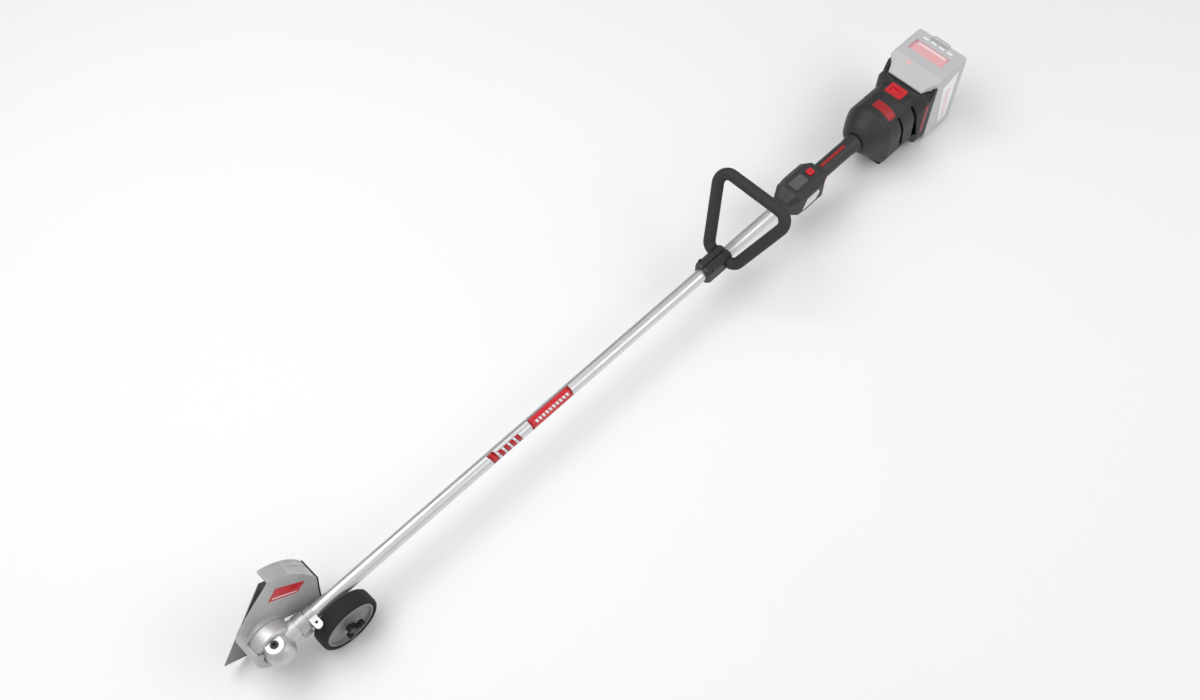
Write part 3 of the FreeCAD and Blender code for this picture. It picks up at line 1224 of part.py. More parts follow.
def make_motor():
    stator = new_body("motor_stator")
    sketch = new_sketch(stator)
    draw_circle(sketch, 0, 0, S.stator_radius)
    draw_circle(sketch, 0, 0, S.stator_bore)
    pad(stator, sketch, S.stator_rear - S.stator_front)
    slot = new_sketch(stator)
    draw_outline(slot, [(S.stator_bore - 1, -2), (S.stator_radius - 6, -5),
                        (S.stator_radius - 6, 5), (S.stator_bore - 1, 2)])
    cut = pocket(stator, slot, S.stator_rear - S.stator_front, reverse=True)
    pattern = stator.newObject("PartDesign::PolarPattern", "stator_slots")
    pattern.Originals = [cut]
    pattern.Axis = (slot, ["N_Axis"])
    pattern.Angle = 360
    pattern.Occurrences = 12
    stator.Tip = pattern
    place(stator, S.stator_front, 0, 0, ALONG_TUBE)
    rotor, shaft = S.rotor_radius, S.motor_shaft
    lead = float(S.stator_front) + 3
    turned("motor_rotor", [(0, S.motor_shaft_front), (shaft, S.motor_shaft_front),
                           (shaft, 1528.0), (4.0, 1528.0), (4.0, 1540.0), (shaft + 2, 1540.0),
                           (shaft + 2, lead), (rotor, lead), (rotor, S.stator_rear - 3),
                           (shaft + 2, S.stator_rear - 3), (shaft + 2, 1602.0), (shaft, 1602.0),
                           (shaft, 1620.5), (4.0, 1620.5), (4.0, S.motor_shaft_rear),
                           (0, S.motor_shaft_rear)], (0, 0, 0), ALONG_TUBE)
    fan_x = 1603.0
    hub = x_cylinder(11, fan_x, fan_x + 12)
    disc = x_cylinder(S.fan_radius, fan_x, fan_x + 2)
    blades = []
    for i in range(13):
        blade = box(fan_x + 1.5, fan_x + 12, -1, 1, 18, float(S.fan_radius) - 1)
        blade.rotate(Vector(fan_x, 0, 30), Vector(1, 0, 0), 28)
        blade.rotate(Vector(fan_x, 0, 0), Vector(1, 0, 0), 360 * i / 13)
        blades.append(blade)
    fan = hub.fuse([disc] + blades).cut(x_cylinder(shaft, fan_x - 1, fan_x + 14))
    shaped("cooling_fan", fan)
    turned("shaft_coupler", [(S.shaft_radius, 1503.5), (8.5, 1503.5), (8.5, 1524.0),
                             (shaft, 1524.0), (shaft, 1509.0), (S.shaft_radius, 1509.0)],
           (0, 0, 0), ALONG_TUBE)


def make_release_button():
    body = new_body("release_button")
    half = S.button_half
    length = S.button_rear - S.button_front
    sketch = new_sketch(body)
    draw_outline(sketch, [(0, -half), (length, -half), (length, half), (0, half)])
    pad(body, sketch, S.button_top - S.button_foot)
    round_edges(body, 3.0, lambda edge: edge.BoundBox.ZLength > 1)
    scoop = new_sketch(body, "XY_Plane", S.button_top - S.button_foot)
    draw_outline(scoop, [(6, -13.0), (21, -13.0), (21, 13.0), (6, 13.0)])
    pocket(body, scoop, 2.4)
    place(body, S.button_front, 0, S.button_foot, UPRIGHT)


# ------------------------------------------------------------------------------ battery

def battery_profile(shift):
    """Side outline of the pack with its sloping nose, drawn in by shift."""
    front = float(S.dock_rear + S.slide_gap) + shift
    rear, top = float(S.battery_rear) - shift, float(S.battery_top) - shift
    bottom, nose = float(S.battery_bottom) + shift, float(S.nose_front) + shift
    low = float(S.nose_low) + shift
    return [(front, bottom), (rear, bottom), (rear, top), (1676.0, top), (nose, low + 3.6),
            (nose, low), (front, low)]


def nose_plan(gap, low):
    """Upright prism of the nose's plan outline, grown by a gap, from a height upwards."""
    front, tip = float(S.dock_rear + S.slide_gap) + 20, float(S.nose_front) - gap
    bend, half = float(S.nose_bend) - gap, float(S.battery_half) + gap
    right = [(tip, float(S.nose_half) + gap), (bend, float(S.nose_bend_half) + gap),
             (float(S.dock_rear + S.slide_gap) - gap, half), (front, half)]
    outline = right + [(x, -y) for x, y in reversed(right)]
    corners = [Vector(x, y, low) for x, y in outline]
    return Part.Face(Part.makePolygon(corners + corners[:1])).extrude(Vector(0, 0, 60))


def make_hump():
    """Raised grip on the rear top edge of the pack."""
    rear, top, peak = float(S.battery_rear), float(S.battery_top), float(S.hump_top)
    corners = [Vector(rear - 11, y, z) for y, z in ((-21, top - 2), (-14, peak), (20, peak),
                                                    (27, top - 2))]
    hump = Part.Face(Part.makePolygon(corners + corners[:1])).extrude(Vector(9.5, 0, 0))
    return hump.makeChamfer(1.2, [edge for edge in hump.Edges if edge.BoundBox.ZMin > peak - 0.1])


def make_battery():
    """Battery pack that slides down on to the dock's rails, with its nose over the head."""
    half, top, bottom = [float(v) for v in (S.battery_half, S.battery_top, S.battery_bottom)]
    front, rear, seam = float(S.dock_rear + S.slide_gap), float(S.battery_rear), float(
        S.battery_seam)
    solid = side_prism(battery_profile(0.0), -half, half)
    ahead = solid.common(box(1600, front + 5, -90, 90, float(S.nose_low) - 1, 120))
    behind = solid.cut(box(1600, front, -90, 90, -120, 120))
    solid = behind.fuse(ahead.common(nose_plan(0.0, float(S.nose_low) - 2))).removeSplitter()
    upright = [edge for edge in solid.Edges if edge.BoundBox.ZLength > 120]
    solid = solid.makeFillet(7.0, [edge for edge in upright if edge.BoundBox.XMin > rear - 1])
    rim = [edge for edge in solid.Edges if edge.BoundBox.ZLength < 0.01
           and edge.BoundBox.XMax > rear - 8 and edge.BoundBox.ZMin > top - 0.1]
    solid = solid.makeFillet(4.0, rim)
    solid = solid.fuse(make_hump())
    cavity = box(front + 14, rear - float(S.case_wall), -half + 3, half - 3, bottom + 3, top - 3)
    solid = solid.cut(cavity)
    gap = float(S.slide_gap)
    depth = float(S.rail_depth)
    for side in (1, -1):
        y, rail = side * float(S.rail_side), float(S.rail_half)
        solid = solid.cut([box(front - 1, front + 4, y - rail * 0.55 - gap, y + rail * 0.55 + gap,
                               bottom - 1, 41),
                           box(front + 3 - 2 * gap, front + depth + gap, y - rail - gap,
                               y + rail + gap, bottom - 1, 41)])
    solid = solid.cut(box(front - 1, front + 8, -11.6, 11.6, bottom - 1, -17))
    case = solid.common(box(1600, seam, -90, 90, -120, 120))
    cover = solid.common(box(seam, rear + 5, -90, 90, -120, 120))
    shaped("battery_case", largest(case))
    shaped("battery_cover", largest(cover))
    pitch, radius = float(S.cell_pitch), float(S.cell_radius)
    start = front + 15
    cells = []
    for column in range(5):
        for level in range(6):
            y = (column - 2) * pitch
            z = (level - 2.5) * pitch - 4
            can = x_cylinder(radius, start, start + float(S.cell_length), y, z)
            cells.append(can.fuse(x_cylinder(4, start + float(S.cell_length) - 0.5,
                                             start + float(S.cell_length) + 1, y, z)))
    shaped("battery_cells", Part.makeCompound(cells))


# ------------------------------------------------------------------------------ make and check

make_tube()
make_drive_shaft()
make_liners()
make_gears()
make_bearings()
make_gear_case()
make_grease_plug()
make_spindle_housing()
make_spindle()
make_blade()
make_guard()
make_guard_badge()
make_flap()
make_wheel()
make_axle()
make_bracket()
make_strap()
make_knob()
make_handle_clamp()
make_loop()
make_control_housing()
make_trigger()
make_lock_button()
make_trims()
make_coil("lock_spring", float(S.lock_ahead), 0, 13.4, 21.4, 4.5, 0.5)
make_bell()
make_motor_housing()
make_dock()
make_foot()
make_motor()
make_release_button()
make_battery()

doc.recompute()
for item in doc.Objects:
    if "Invalid" in item.State or "Error" in item.State:
        raise RuntimeError(f"{item.Label} failed: {item.State}")
for part in sub_parts:
    if part.Shape.isNull() or not part.Shape.isValid():
        raise RuntimeError(f"{part.Label} has no valid shape")
    part.Shape.exportStep(f"parts/{part.Label}.step")
print(len(sub_parts), "sub-parts")
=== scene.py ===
import json
import math

import bmesh
import bpy
from mathutils import Matrix, Vector, noise
from mathutils.bvhtree import BVHTree


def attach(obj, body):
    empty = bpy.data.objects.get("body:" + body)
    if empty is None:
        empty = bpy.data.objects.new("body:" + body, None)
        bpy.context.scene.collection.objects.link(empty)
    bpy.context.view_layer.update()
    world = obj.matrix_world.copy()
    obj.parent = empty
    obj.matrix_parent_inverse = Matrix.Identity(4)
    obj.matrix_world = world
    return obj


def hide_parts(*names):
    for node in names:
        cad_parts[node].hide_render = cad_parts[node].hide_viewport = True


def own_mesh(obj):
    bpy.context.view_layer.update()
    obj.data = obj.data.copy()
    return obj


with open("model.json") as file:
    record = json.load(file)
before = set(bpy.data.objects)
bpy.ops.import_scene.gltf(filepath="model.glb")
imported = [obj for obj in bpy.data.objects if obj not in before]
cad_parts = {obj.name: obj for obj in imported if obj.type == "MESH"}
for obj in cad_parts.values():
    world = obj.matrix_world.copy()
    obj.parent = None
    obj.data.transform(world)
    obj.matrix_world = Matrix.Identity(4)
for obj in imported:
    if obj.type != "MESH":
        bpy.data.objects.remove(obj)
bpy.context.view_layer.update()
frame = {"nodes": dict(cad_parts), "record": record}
NODES = frame["nodes"]

# The drawing counts its lengths from the crossing of tube and spindle axes, in millimetres.
ORIGIN_AHEAD = 841.7
FLOOR_DROP = 96.5


def spot(x, y, z):
    """A point of the drawing, in the row frame in metres."""
    return Vector(((x - ORIGIN_AHEAD) / 1000, y / 1000, (z + FLOOR_DROP) / 1000))


# ------------------------------------------------------------------------------ camera and lights

CAMERA_SPOT = Vector((-0.95064, -0.86581, 2.18656))
CAMERA_RIGHT = Vector((0.70487, -0.70933, -0.00326))
CAMERA_UP = Vector((0.61006, 0.60386, 0.51300))
CAMERA_LENS = 39.40

# The room fades from bright to dim as a direction turns towards this one.
DIM_WAY = (0.0, 1.0, -1.3)
FADE_START, FADE_END = 0.0, 0.45
ROOM_BRIGHT, ROOM_DIM = 0.57, 0.03
FLOOR_REACH, FLOOR_GAP = 14.0, 0.0004


def make_camera():
    """Camera above and ahead of the cutting end, looking back along the tube."""
    data = bpy.data.cameras.new("camera")
    data.sensor_width = 36.0
    data.sensor_fit = "HORIZONTAL"
    data.lens = CAMERA_LENS
    data.clip_end = 50.0
    camera = bpy.data.objects.new("camera", data)
    back = CAMERA_RIGHT.cross(CAMERA_UP).normalized()
    up = back.cross(CAMERA_RIGHT).normalized()
    right = up.cross(back)
    turn = Matrix((right, up, back)).transposed()
    camera.matrix_world = Matrix.Translation(CAMERA_SPOT) @ turn.to_4x4()
    bpy.context.scene.collection.objects.link(camera)
    bpy.context.scene.camera = camera


def area_light(name, place, target, size, power):
    """A soft box at a place, turned to its target; size in metres and power in watts."""
    data = bpy.data.lights.new(name, "AREA")
    data.shape = "RECTANGLE"
    data.size, data.size_y = size
    data.energy = power
    light = bpy.data.objects.new(name, data)
    light.location = place
    direction = Vector(target) - Vector(place)
    light.rotation_euler = direction.to_track_quat("-Z", "Y").to_euler()
    bpy.context.scene.collection.objects.link(light)


def make_room():
    """A pale world that is dim low down on the +Y side, which draws a dark line along metal."""
    world = bpy.data.worlds.new("studio")
    world.use_nodes = True
    bpy.context.scene.world = world
    tree = world.node_tree
    place = tree.nodes.new("ShaderNodeTexCoord").outputs["Generated"]
    slope = tree.nodes.new("ShaderNodeVectorMath")
    slope.operation = "DOT_PRODUCT"
    tree.links.new(place, slope.inputs[0])
    slope.inputs[1].default_value = DIM_WAY
    ramp = tree.nodes.new("ShaderNodeMapRange")
    tree.links.new(slope.outputs["Value"], ramp.inputs[0])
    for index, number in enumerate((FADE_START, FADE_END, ROOM_BRIGHT, ROOM_DIM), start=1):
        ramp.inputs[index].default_value = number
    background = tree.nodes["Background"]
    background.inputs["Color"].default_value = (0.985, 0.99, 1.0, 1)
    tree.links.new(ramp.outputs[0], background.inputs["Strength"])


def make_studio():
    """Plain pale floor under two large soft boxes, in a pale room with one dim wall."""
    make_room()
    area_light("key_box", (-0.9, 0.9, 2.6), (0, 0, 0), (2.6, 1.4), 40)
    area_light("fill_box", (1.4, -1.8, 2.2), (0.2, 0, 0), (2.4, 1.2), 20)
    mesh = bpy.data.meshes.new("floor")
    corners = [(FLOOR_REACH * x, FLOOR_REACH * y, 0)
               for x, y in ((-1, -1), (1, -1), (1, 1), (-1, 1))]
    mesh.from_pydata(corners, [], [(0, 1, 2, 3)])
    floor = bpy.data.objects.new("floor", mesh)
    floor.location.z = -FLOOR_GAP
    bpy.context.scene.collection.objects.link(floor)
    floor.data.materials.append(floor_material())
    bpy.context.scene.view_settings.view_transform = "Standard"
    bpy.context.scene.view_settings.look = "None"


# ------------------------------------------------------------------------------ material kit

class Finish:
    """A material under construction: a Principled shader with object coordinates to hand."""

    def __init__(self, name, colour, roughness, metallic=0.0, coat=0.0, specular=0.5):
        self.material = bpy.data.materials.new(name)
        self.material.use_nodes = True
        self.tree = self.material.node_tree
        self.shader = self.tree.nodes["Principled BSDF"]
        self.shader.inputs["Base Color"].default_value = (*colour, 1.0)
        self.shader.inputs["Roughness"].default_value = roughness
        self.shader.inputs["Metallic"].default_value = metallic
        self.shader.inputs["Coat Weight"].default_value = coat
        self.shader.inputs["Specular IOR Level"].default_value = specular
        self.place = self.tree.nodes.new("ShaderNodeTexCoord").outputs["Object"]
        self.normal = None

    def node(self, kind, settings=None, **inputs):
        """A new shader node with its settings made and its named inputs fed."""
        made = self.tree.nodes.new("ShaderNode" + kind)
        for name, value in (settings or {}).items():
            setattr(made, name, value)
        for name, value in inputs.items():
            self.feed(made.inputs[name.replace("_", " ")], value)
        return made

    def feed(self, socket, value):
        """Link a socket to another one, or give it a plain value."""
        if isinstance(value, bpy.types.NodeSocket):
            self.tree.links.new(value, socket)
        else:
            socket.default_value = value

    def stretched(self, scale):
        """Object coordinates multiplied by a scale along each axis."""
        mapping = self.node("Mapping", Vector=self.place)
        mapping.inputs["Scale"].default_value = scale
        return mapping.outputs["Vector"]

    def noise(self, size, detail=3.0, rough=0.5, stretch=(1, 1, 1), shift=0.0):
        """Noise whose features are about size metres across, 0 to 1."""
        vector = self.stretched(tuple(k / size for k in stretch))
        if shift:
            added = self.node("VectorMath", {"operation": "ADD"})
            self.feed(added.inputs[0], vector)
            self.feed(added.inputs[1], (shift, shift * 1.7, -shift))
            vector = added.outputs[0]
        made = self.node("TexNoise", Vector=vector, Scale=1.0, Detail=detail, Roughness=rough)
        return made.outputs["Fac"]

    def cells(self, size):
        """Distance to the nearest of random spots about size metres apart."""
        vector = self.stretched((1 / size, 1 / size, 1 / size))
        return self.node("TexVoronoi", Vector=vector, Scale=1.0).outputs["Distance"]

    def band(self, value, low, high, to_low=0.0, to_high=1.0):
        """value between low and high, spread to to_low..to_high and clamped."""
        made = self.node("MapRange", {"clamp": True})
        for index, number in enumerate((value, low, high, to_low, to_high)):
            self.feed(made.inputs[index], number)
        return made.outputs[0]

    def maths(self, operation, a, b):
        """One step of arithmetic on two values."""
        made = self.node("Math", {"operation": operation})
        self.feed(made.inputs[0], a)
        self.feed(made.inputs[1], b)
        return made.outputs[0]

    def mixed(self, factor, a, b):
        """Colour a where the factor is 0 and colour b where it is 1."""
        made = self.node("Mix", {"data_type": "RGBA"})
        self.feed(made.inputs["Factor"], factor)
        self.feed(made.inputs["A"], a if isinstance(a, bpy.types.NodeSocket) else (*a[:3], 1.0))
        self.feed(made.inputs["B"], b if isinstance(b, bpy.types.NodeSocket) else (*b[:3], 1.0))
        return made.outputs["Result"]

    def round_edges(self, radius):
        """Soften the shading of edges by a small radius and return a mask of those edges."""
        bevel = self.node("Bevel", {"samples": 4})
        bevel.inputs["Radius"].default_value = radius
        self.normal = bevel.outputs["Normal"]
        wide = self.node("Bevel", {"samples": 4})
        wide.inputs["Radius"].default_value = radius * 1.6
        geometry = self.node("NewGeometry")
        dot = self.node("VectorMath", {"operation": "DOT_PRODUCT"})
        self.feed(dot.inputs[0], wide.outputs["Normal"])
        self.feed(dot.inputs[1], geometry.outputs["Normal"])
        return self.band(dot.outputs["Value"], 0.995, 0.86)

    def bump(self, height, depth, strength=1.0):
        """Raise the surface by height times depth metres."""
        made = self.node("Bump", Height=height, Strength=strength, Distance=depth)
        if self.normal is not None:
            self.feed(made.inputs["Normal"], self.normal)
        self.normal = made.outputs["Normal"]

    def done(self, colour, roughness):
        """Join colour, roughness and the surface relief to the shader."""
        self.feed(self.shader.inputs["Base Color"], colour)
        self.feed(self.shader.inputs["Roughness"], roughness)
        self.feed(self.shader.inputs["Normal"], self.normal)
        return self.material


def shade(colour, factor):
    """A lighter or darker version of a colour."""
    return tuple(min(channel * factor, 1.0) for channel in colour[:3])


def srgb(red, green, blue):
    """Linear colour from 0..255 display values."""
    def linear(value):
        value /= 255
        return value / 12.92 if value <= 0.04045 else ((value + 0.055) / 1.055) ** 2.4
    return tuple(linear(value) for value in (red, green, blue))


def floor_material():
    """Pale matte paper with faint clouds."""
    finish = Finish("floor_paper", (0.94, 0.94, 0.94), 0.7, specular=0.1)
    cloud = finish.noise(0.5, 2.0)
    colour = finish.mixed(cloud, (0.93, 0.93, 0.93), (0.95, 0.95, 0.95))
    finish.bump(finish.noise(0.002, 2.0), 0.0001)
    return finish.done(colour, finish.band(cloud, 0.3, 0.7, 0.66, 0.76))


def moulded_plastic(name, colour, roughness=0.5, grain=0.0007, depth=0.00006, edge=0.0007,
                    worn=1.7, coat=0.0, patch=0.10, speckle=0.35):
    """Moulded plastic: leather-like spark grain, faint flow clouds, rubbed and lighter edges."""
    finish = Finish(name, colour, roughness, coat=coat)
    rubbed = finish.round_edges(edge)
    cloud = finish.noise(0.045, 3.0, 0.6)
    fine = finish.noise(0.0022, 2.0, shift=3.1)
    tone = finish.mixed(finish.band(cloud, 0.32, 0.68), shade(colour, 1 - patch),
                        shade(colour, 1 + patch))
    tone = finish.mixed(finish.band(fine, 0.42, 0.72, 0.0, speckle), tone, shade(colour, 1.35))
    broken = finish.maths("MULTIPLY", rubbed,
                          finish.band(finish.noise(0.006, 4.0, 0.7, shift=7.7), 0.38, 0.62))
    tone = finish.mixed(finish.maths("MULTIPLY", broken, 0.55), tone, shade(colour, worn))
    scuff = finish.band(finish.noise(0.02, 5.0, 0.65, stretch=(1, 1, 0.35), shift=5.3), 0.5, 0.8)
    rough = finish.band(scuff, 0.0, 1.0, roughness, roughness - 0.12)
    rough = finish.maths("SUBTRACT", rough, finish.maths("MULTIPLY", rubbed, 0.10))
    finish.bump(finish.cells(grain), depth, 0.8)
    finish.bump(fine, depth * 1.5, 0.5)
    return finish.done(tone, rough)


def drawn_metal(name, colour, roughness=0.3, along=(0.04, 1, 1), line=0.0006, metallic=1.0,
                edge=0.0005, dirt=0.25, depth=0.00001):
    """Brushed or drawn metal: fine lines along one way, smudges and brighter edges."""
    finish = Finish(name, colour, roughness, metallic=metallic)
    rubbed = finish.round_edges(edge)
    lines = finish.noise(line, 4.0, 0.65, stretch=along)
    smudge = finish.noise(0.05, 4.0, 0.6, shift=2.3)
    tone = finish.mixed(finish.band(lines, 0.3, 0.7), shade(colour, 0.90), shade(colour, 1.06))
    tone = finish.mixed(finish.band(smudge, 0.45, 0.8, 0.0, dirt), tone, shade(colour, 0.72))
    tone = finish.mixed(finish.maths("MULTIPLY", rubbed, 0.6), tone, shade(colour, 1.25))
    rough = finish.band(lines, 0.25, 0.75, roughness - 0.07, roughness + 0.09)
    rough = finish.maths("ADD", rough, finish.band(smudge, 0.4, 0.8, 0.0, 0.14))
    finish.bump(lines, depth)
    return finish.done(tone, rough)


def cast_metal(name, colour, roughness=0.42, metallic=1.0, grain=0.0012, depth=0.00009,
               edge=0.0009, dirt=0.3, bright=1.3):
    """Blasted casting: fine orange-peel, tiny pits, dust in the lows and bright rubbed edges."""
    finish = Finish(name, colour, roughness, metallic=metallic)
    rubbed = finish.round_edges(edge)
    peel = finish.noise(grain, 3.0, 0.55)
    pits = finish.band(finish.cells(grain * 3.1), 0.0, 0.28)
    cloud = finish.noise(0.03, 4.0, 0.6, shift=1.9)
    tone = finish.mixed(finish.band(cloud, 0.3, 0.75), shade(colour, 0.90), shade(colour, 1.08))
    tone = finish.mixed(finish.band(peel, 0.35, 0.75, 0.0, dirt), tone, shade(colour, 0.80))
    broken = finish.maths("MULTIPLY", rubbed,
                          finish.band(finish.noise(0.004, 4.0, 0.7, shift=4.4), 0.3, 0.6))
    tone = finish.mixed(finish.maths("MULTIPLY", broken, 0.7), tone, shade(colour, bright))
    rough = finish.band(peel, 0.3, 0.7, roughness - 0.08, roughness + 0.10)
    rough = finish.maths("SUBTRACT", rough, finish.maths("MULTIPLY", broken, 0.14))
    finish.bump(peel, depth)
    finish.bump(pits, depth * 0.6, 0.6)
    return finish.done(tone, rough)


def rubber(name, colour, roughness=0.72, grain=0.0009, depth=0.00010, dust=0.35):
    """Matte rubber with a fine grain and pale dust in patches."""
    finish = Finish(name, colour, roughness, specular=0.35)
    rubbed = finish.round_edges(0.0008)
    patch = finish.band(finish.noise(0.03, 5.0, 0.65, shift=6.1), 0.45, 0.75)
    fine = finish.noise(grain, 3.0, 0.6)
    tone = finish.mixed(finish.band(fine, 0.3, 0.7), shade(colour, 0.8), shade(colour, 1.25))
    tone = finish.mixed(finish.maths("MULTIPLY", patch, dust * 0.4), tone, (0.13, 0.13, 0.125))
    tone = finish.mixed(finish.maths("MULTIPLY", rubbed, 0.4), tone, shade(colour, 2.0))
    rough = finish.band(patch, 0.0, 1.0, roughness, roughness + 0.14)
    finish.bump(fine, depth)
    return finish.done(tone, rough)


def printed_film(name, colour, ink):
    """Thin printed film: a fine dot screen, faded patches and a slightly glossy skin."""
    finish = Finish(name, colour, 0.34, coat=0.2)
    rubbed = finish.round_edges(0.0003)
    dots = finish.band(finish.cells(0.0011), 0.20, 0.36, 1.0, 0.0)
    fade = finish.band(finish.noise(0.012, 4.0, 0.6, shift=9.1), 0.35, 0.68)
    tone = finish.mixed(finish.maths("MULTIPLY", dots, 0.55), colour, ink)
    tone = finish.mixed(finish.maths("MULTIPLY", fade, 0.35), tone, shade(colour, 1.06))
    tone = finish.mixed(finish.maths("MULTIPLY", rubbed, 0.5), tone, shade(colour, 0.82))
    finish.bump(finish.noise(0.0012, 3.0), 0.00002)
    return finish.done(tone, finish.band(fade, 0.0, 1.0, 0.30, 0.42))


RED = srgb(200, 20, 34)
INSERT_RED = srgb(160, 24, 30)
BATTERY_GREY = srgb(194, 194, 195)


def slot_materials():
    """One finish for each material slot of the record."""
    return {
        "tube_aluminium": drawn_metal("anodised_tube", (0.72, 0.72, 0.73), 0.36,
                                      along=(0.02, 1, 1), metallic=0.9, dirt=0.12),
        "case_aluminium": cast_metal("blasted_aluminium", (0.64, 0.64, 0.64), 0.50,
                                     metallic=0.85, depth=0.00005, dirt=0.12),
        "guard_paint": cast_metal("guard_powder_coat", (0.50, 0.50, 0.50), 0.46, metallic=0.4,
                                  grain=0.0010, dirt=0.25, bright=1.5),
        "bracket_steel": drawn_metal("zinc_bracket", (0.56, 0.56, 0.57), 0.46,
                                     along=(1, 1, 0.06), dirt=0.2),
        "fastener_steel": drawn_metal("zinc_fastener", (0.60, 0.60, 0.62), 0.30,
                                      along=(1, 1, 1), line=0.0004, edge=0.0003),
        "blade_steel": drawn_metal("ground_blade", (0.26, 0.26, 0.265), 0.38,
                                   along=(1, 1, 0.10), line=0.0005, metallic=0.9, dirt=0.5),
        "holder_steel": drawn_metal("machined_holder", (0.45, 0.45, 0.46), 0.33,
                                    along=(1, 0.1, 1), edge=0.0004),
        "gear_steel": drawn_metal("hardened_steel", (0.40, 0.40, 0.42), 0.28,
                                  along=(0.1, 1, 1), edge=0.0003, dirt=0.35),
        "plug_black": cast_metal("blackened_plug", (0.03, 0.03, 0.03), 0.45, metallic=0.6,
                                 grain=0.0006, edge=0.0004, bright=3.0),
        "liner_nylon": moulded_plastic("natural_nylon", (0.72, 0.70, 0.62), 0.45),
        "flap_rubber": rubber("flap_rubber", srgb(38, 38, 37), 0.70),
        "tyre_rubber": rubber("tyre_rubber", srgb(34, 33, 34), 0.80, grain=0.0013, dust=0.22),
        "rim_plastic": moulded_plastic("rim_plastic", srgb(136, 134, 135), 0.42, worn=1.3),
        "bushing_bronze": drawn_metal("sintered_bronze", (0.50, 0.33, 0.16), 0.38,
                                      along=(1, 0.2, 1), edge=0.0003),
        "knob_plastic": moulded_plastic("knob_plastic", srgb(20, 20, 20), 0.42, worn=2.4),
        "clamp_plastic": moulded_plastic("clamp_plastic", srgb(42, 42, 42), 0.50, edge=0.0016),
        "loop_steel": drawn_metal("loop_steel", (0.5, 0.5, 0.5), 0.35, along=(1, 0.1, 0.4)),
        "loop_foam": rubber("sleeve_rubber", srgb(50, 50, 50), 0.64, grain=0.0007,
                            depth=0.00007, dust=0.12),
        "control_plastic": moulded_plastic("control_plastic", srgb(46, 46, 46), 0.52, edge=0.0022),
        "head_plastic": moulded_plastic("head_plastic", srgb(40, 40, 40), 0.54, edge=0.0022),
        "button_red": moulded_plastic("button_red", RED, 0.34, grain=0.0005, depth=0.00003,
                                      worn=1.3, coat=0.15, patch=0.05),
        "inlay_red": moulded_plastic("inlay_red", INSERT_RED, 0.40, grain=0.0006,
                                     depth=0.00004, worn=1.3, patch=0.06),
        "badge_print": moulded_plastic("badge_print", RED, 0.30, grain=0.0004, depth=0.00002,
                                       worn=1.4, coat=0.3, patch=0.05),
        "badge_pale": moulded_plastic("badge_pale", srgb(222, 222, 223), 0.32, grain=0.0004,
                                      depth=0.00002, worn=1.15, coat=0.2, patch=0.05),
        "panel_grey": moulded_plastic("panel_grey", srgb(84, 84, 85), 0.36, grain=0.0005,
                                      depth=0.00003, worn=1.3, coat=0.2, patch=0.06),
        "switch_black": moulded_plastic("switch_black", srgb(28, 28, 28), 0.42),
        "spring_steel": drawn_metal("spring_wire", (0.62, 0.62, 0.62), 0.25, edge=0.0001),
        "motor_iron": drawn_metal("laminated_iron", (0.24, 0.24, 0.25), 0.42,
                                  along=(1, 0.05, 0.05), line=0.0005),
        "fan_plastic": moulded_plastic("fan_plastic", srgb(52, 52, 54), 0.5),
        "battery_plastic": moulded_plastic("battery_plastic", BATTERY_GREY, 0.42, grain=0.0005,
                                           depth=0.00003, worn=1.08, patch=0.02,
                                           speckle=0.06),
        "cell_wrap": moulded_plastic("cell_wrap", srgb(70, 140, 120), 0.28, coat=0.4),
        "faded_label": printed_film("faded_label", srgb(232, 176, 178), srgb(205, 120, 124)),
        "pale_label": printed_film("pale_label", srgb(244, 244, 244), srgb(232, 231, 232)),
        "faint_label": printed_film("faint_label", srgb(246, 216, 218), srgb(238, 196, 198)),
    }


def dress_nodes():
    """Give every CAD node its finish, and return the finishes by slot."""
    finishes = slot_materials()
    for entry in frame["record"]["subparts"]:
        node = NODES[entry["node"]]
        node.data.materials.clear()
        node.data.materials.append(finishes[entry["material_slot"]])
    # The handle's own screws are blackened, unlike the bright ones on the gear case.
    NODES["handle_clamp_screws"].data.materials[0] = finishes["plug_black"]
    return finishes


# ------------------------------------------------------------------------------ piece helpers

def add_piece(name, points, faces, body, finish):
    """A mesh piece from points in the row frame; it rides on a body and keeps a slot's finish."""
    mesh = bpy.data.meshes.new(name)
    mesh.from_pydata([tuple(point) for point in points], [], faces)
    mesh.validate()
    work = bmesh.new()
    work.from_mesh(mesh)
    bmesh.ops.recalc_face_normals(work, faces=work.faces)
    work.to_mesh(mesh)
    work.free()
    mesh.polygons.foreach_set("use_smooth", [True] * len(mesh.polygons))
    piece = bpy.data.objects.new(name, mesh)
    bpy.context.scene.collection.objects.link(piece)
    mesh.materials.append(finish)
    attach(piece, body)
    return piece


class Shells:
    """Collects thin closed shells, such as films and plates, into one mesh."""

    def __init__(self):
        self.points = []
        self.faces = []

    def sheet(self, rows, columns, place):
        """A closed film: place(u, v, top) gives a point for u and v from 0 to 1."""
        start = len(self.points)
        for top in (0, 1):
            for i in range(rows + 1):
                for j in range(columns + 1):
                    self.points.append(place(i / rows, j / columns, top))
        wide = columns + 1
        level = (rows + 1) * wide

        def index(i, j, top):
            """Number of a point of this film in the shared list."""
            return start + top * level + i * wide + j

        for i in range(rows):
            for j in range(columns):
                self.faces.append((index(i, j, 1), index(i + 1, j, 1), index(i + 1, j + 1, 1),
                                   index(i, j + 1, 1)))
                self.faces.append((index(i, j, 0), index(i, j + 1, 0), index(i + 1, j + 1, 0),
                                   index(i + 1, j, 0)))
        for i in range(rows):
            for j in (0, columns):
                self.faces.append((index(i, j, 0), index(i + 1, j, 0), index(i + 1, j, 1),
                                   index(i, j, 1)))
        for j in range(columns):
            for i in (0, rows):
                self.faces.append((index(i, j, 0), index(i, j + 1, 0), index(i, j + 1, 1),
                                   index(i, j, 1)))


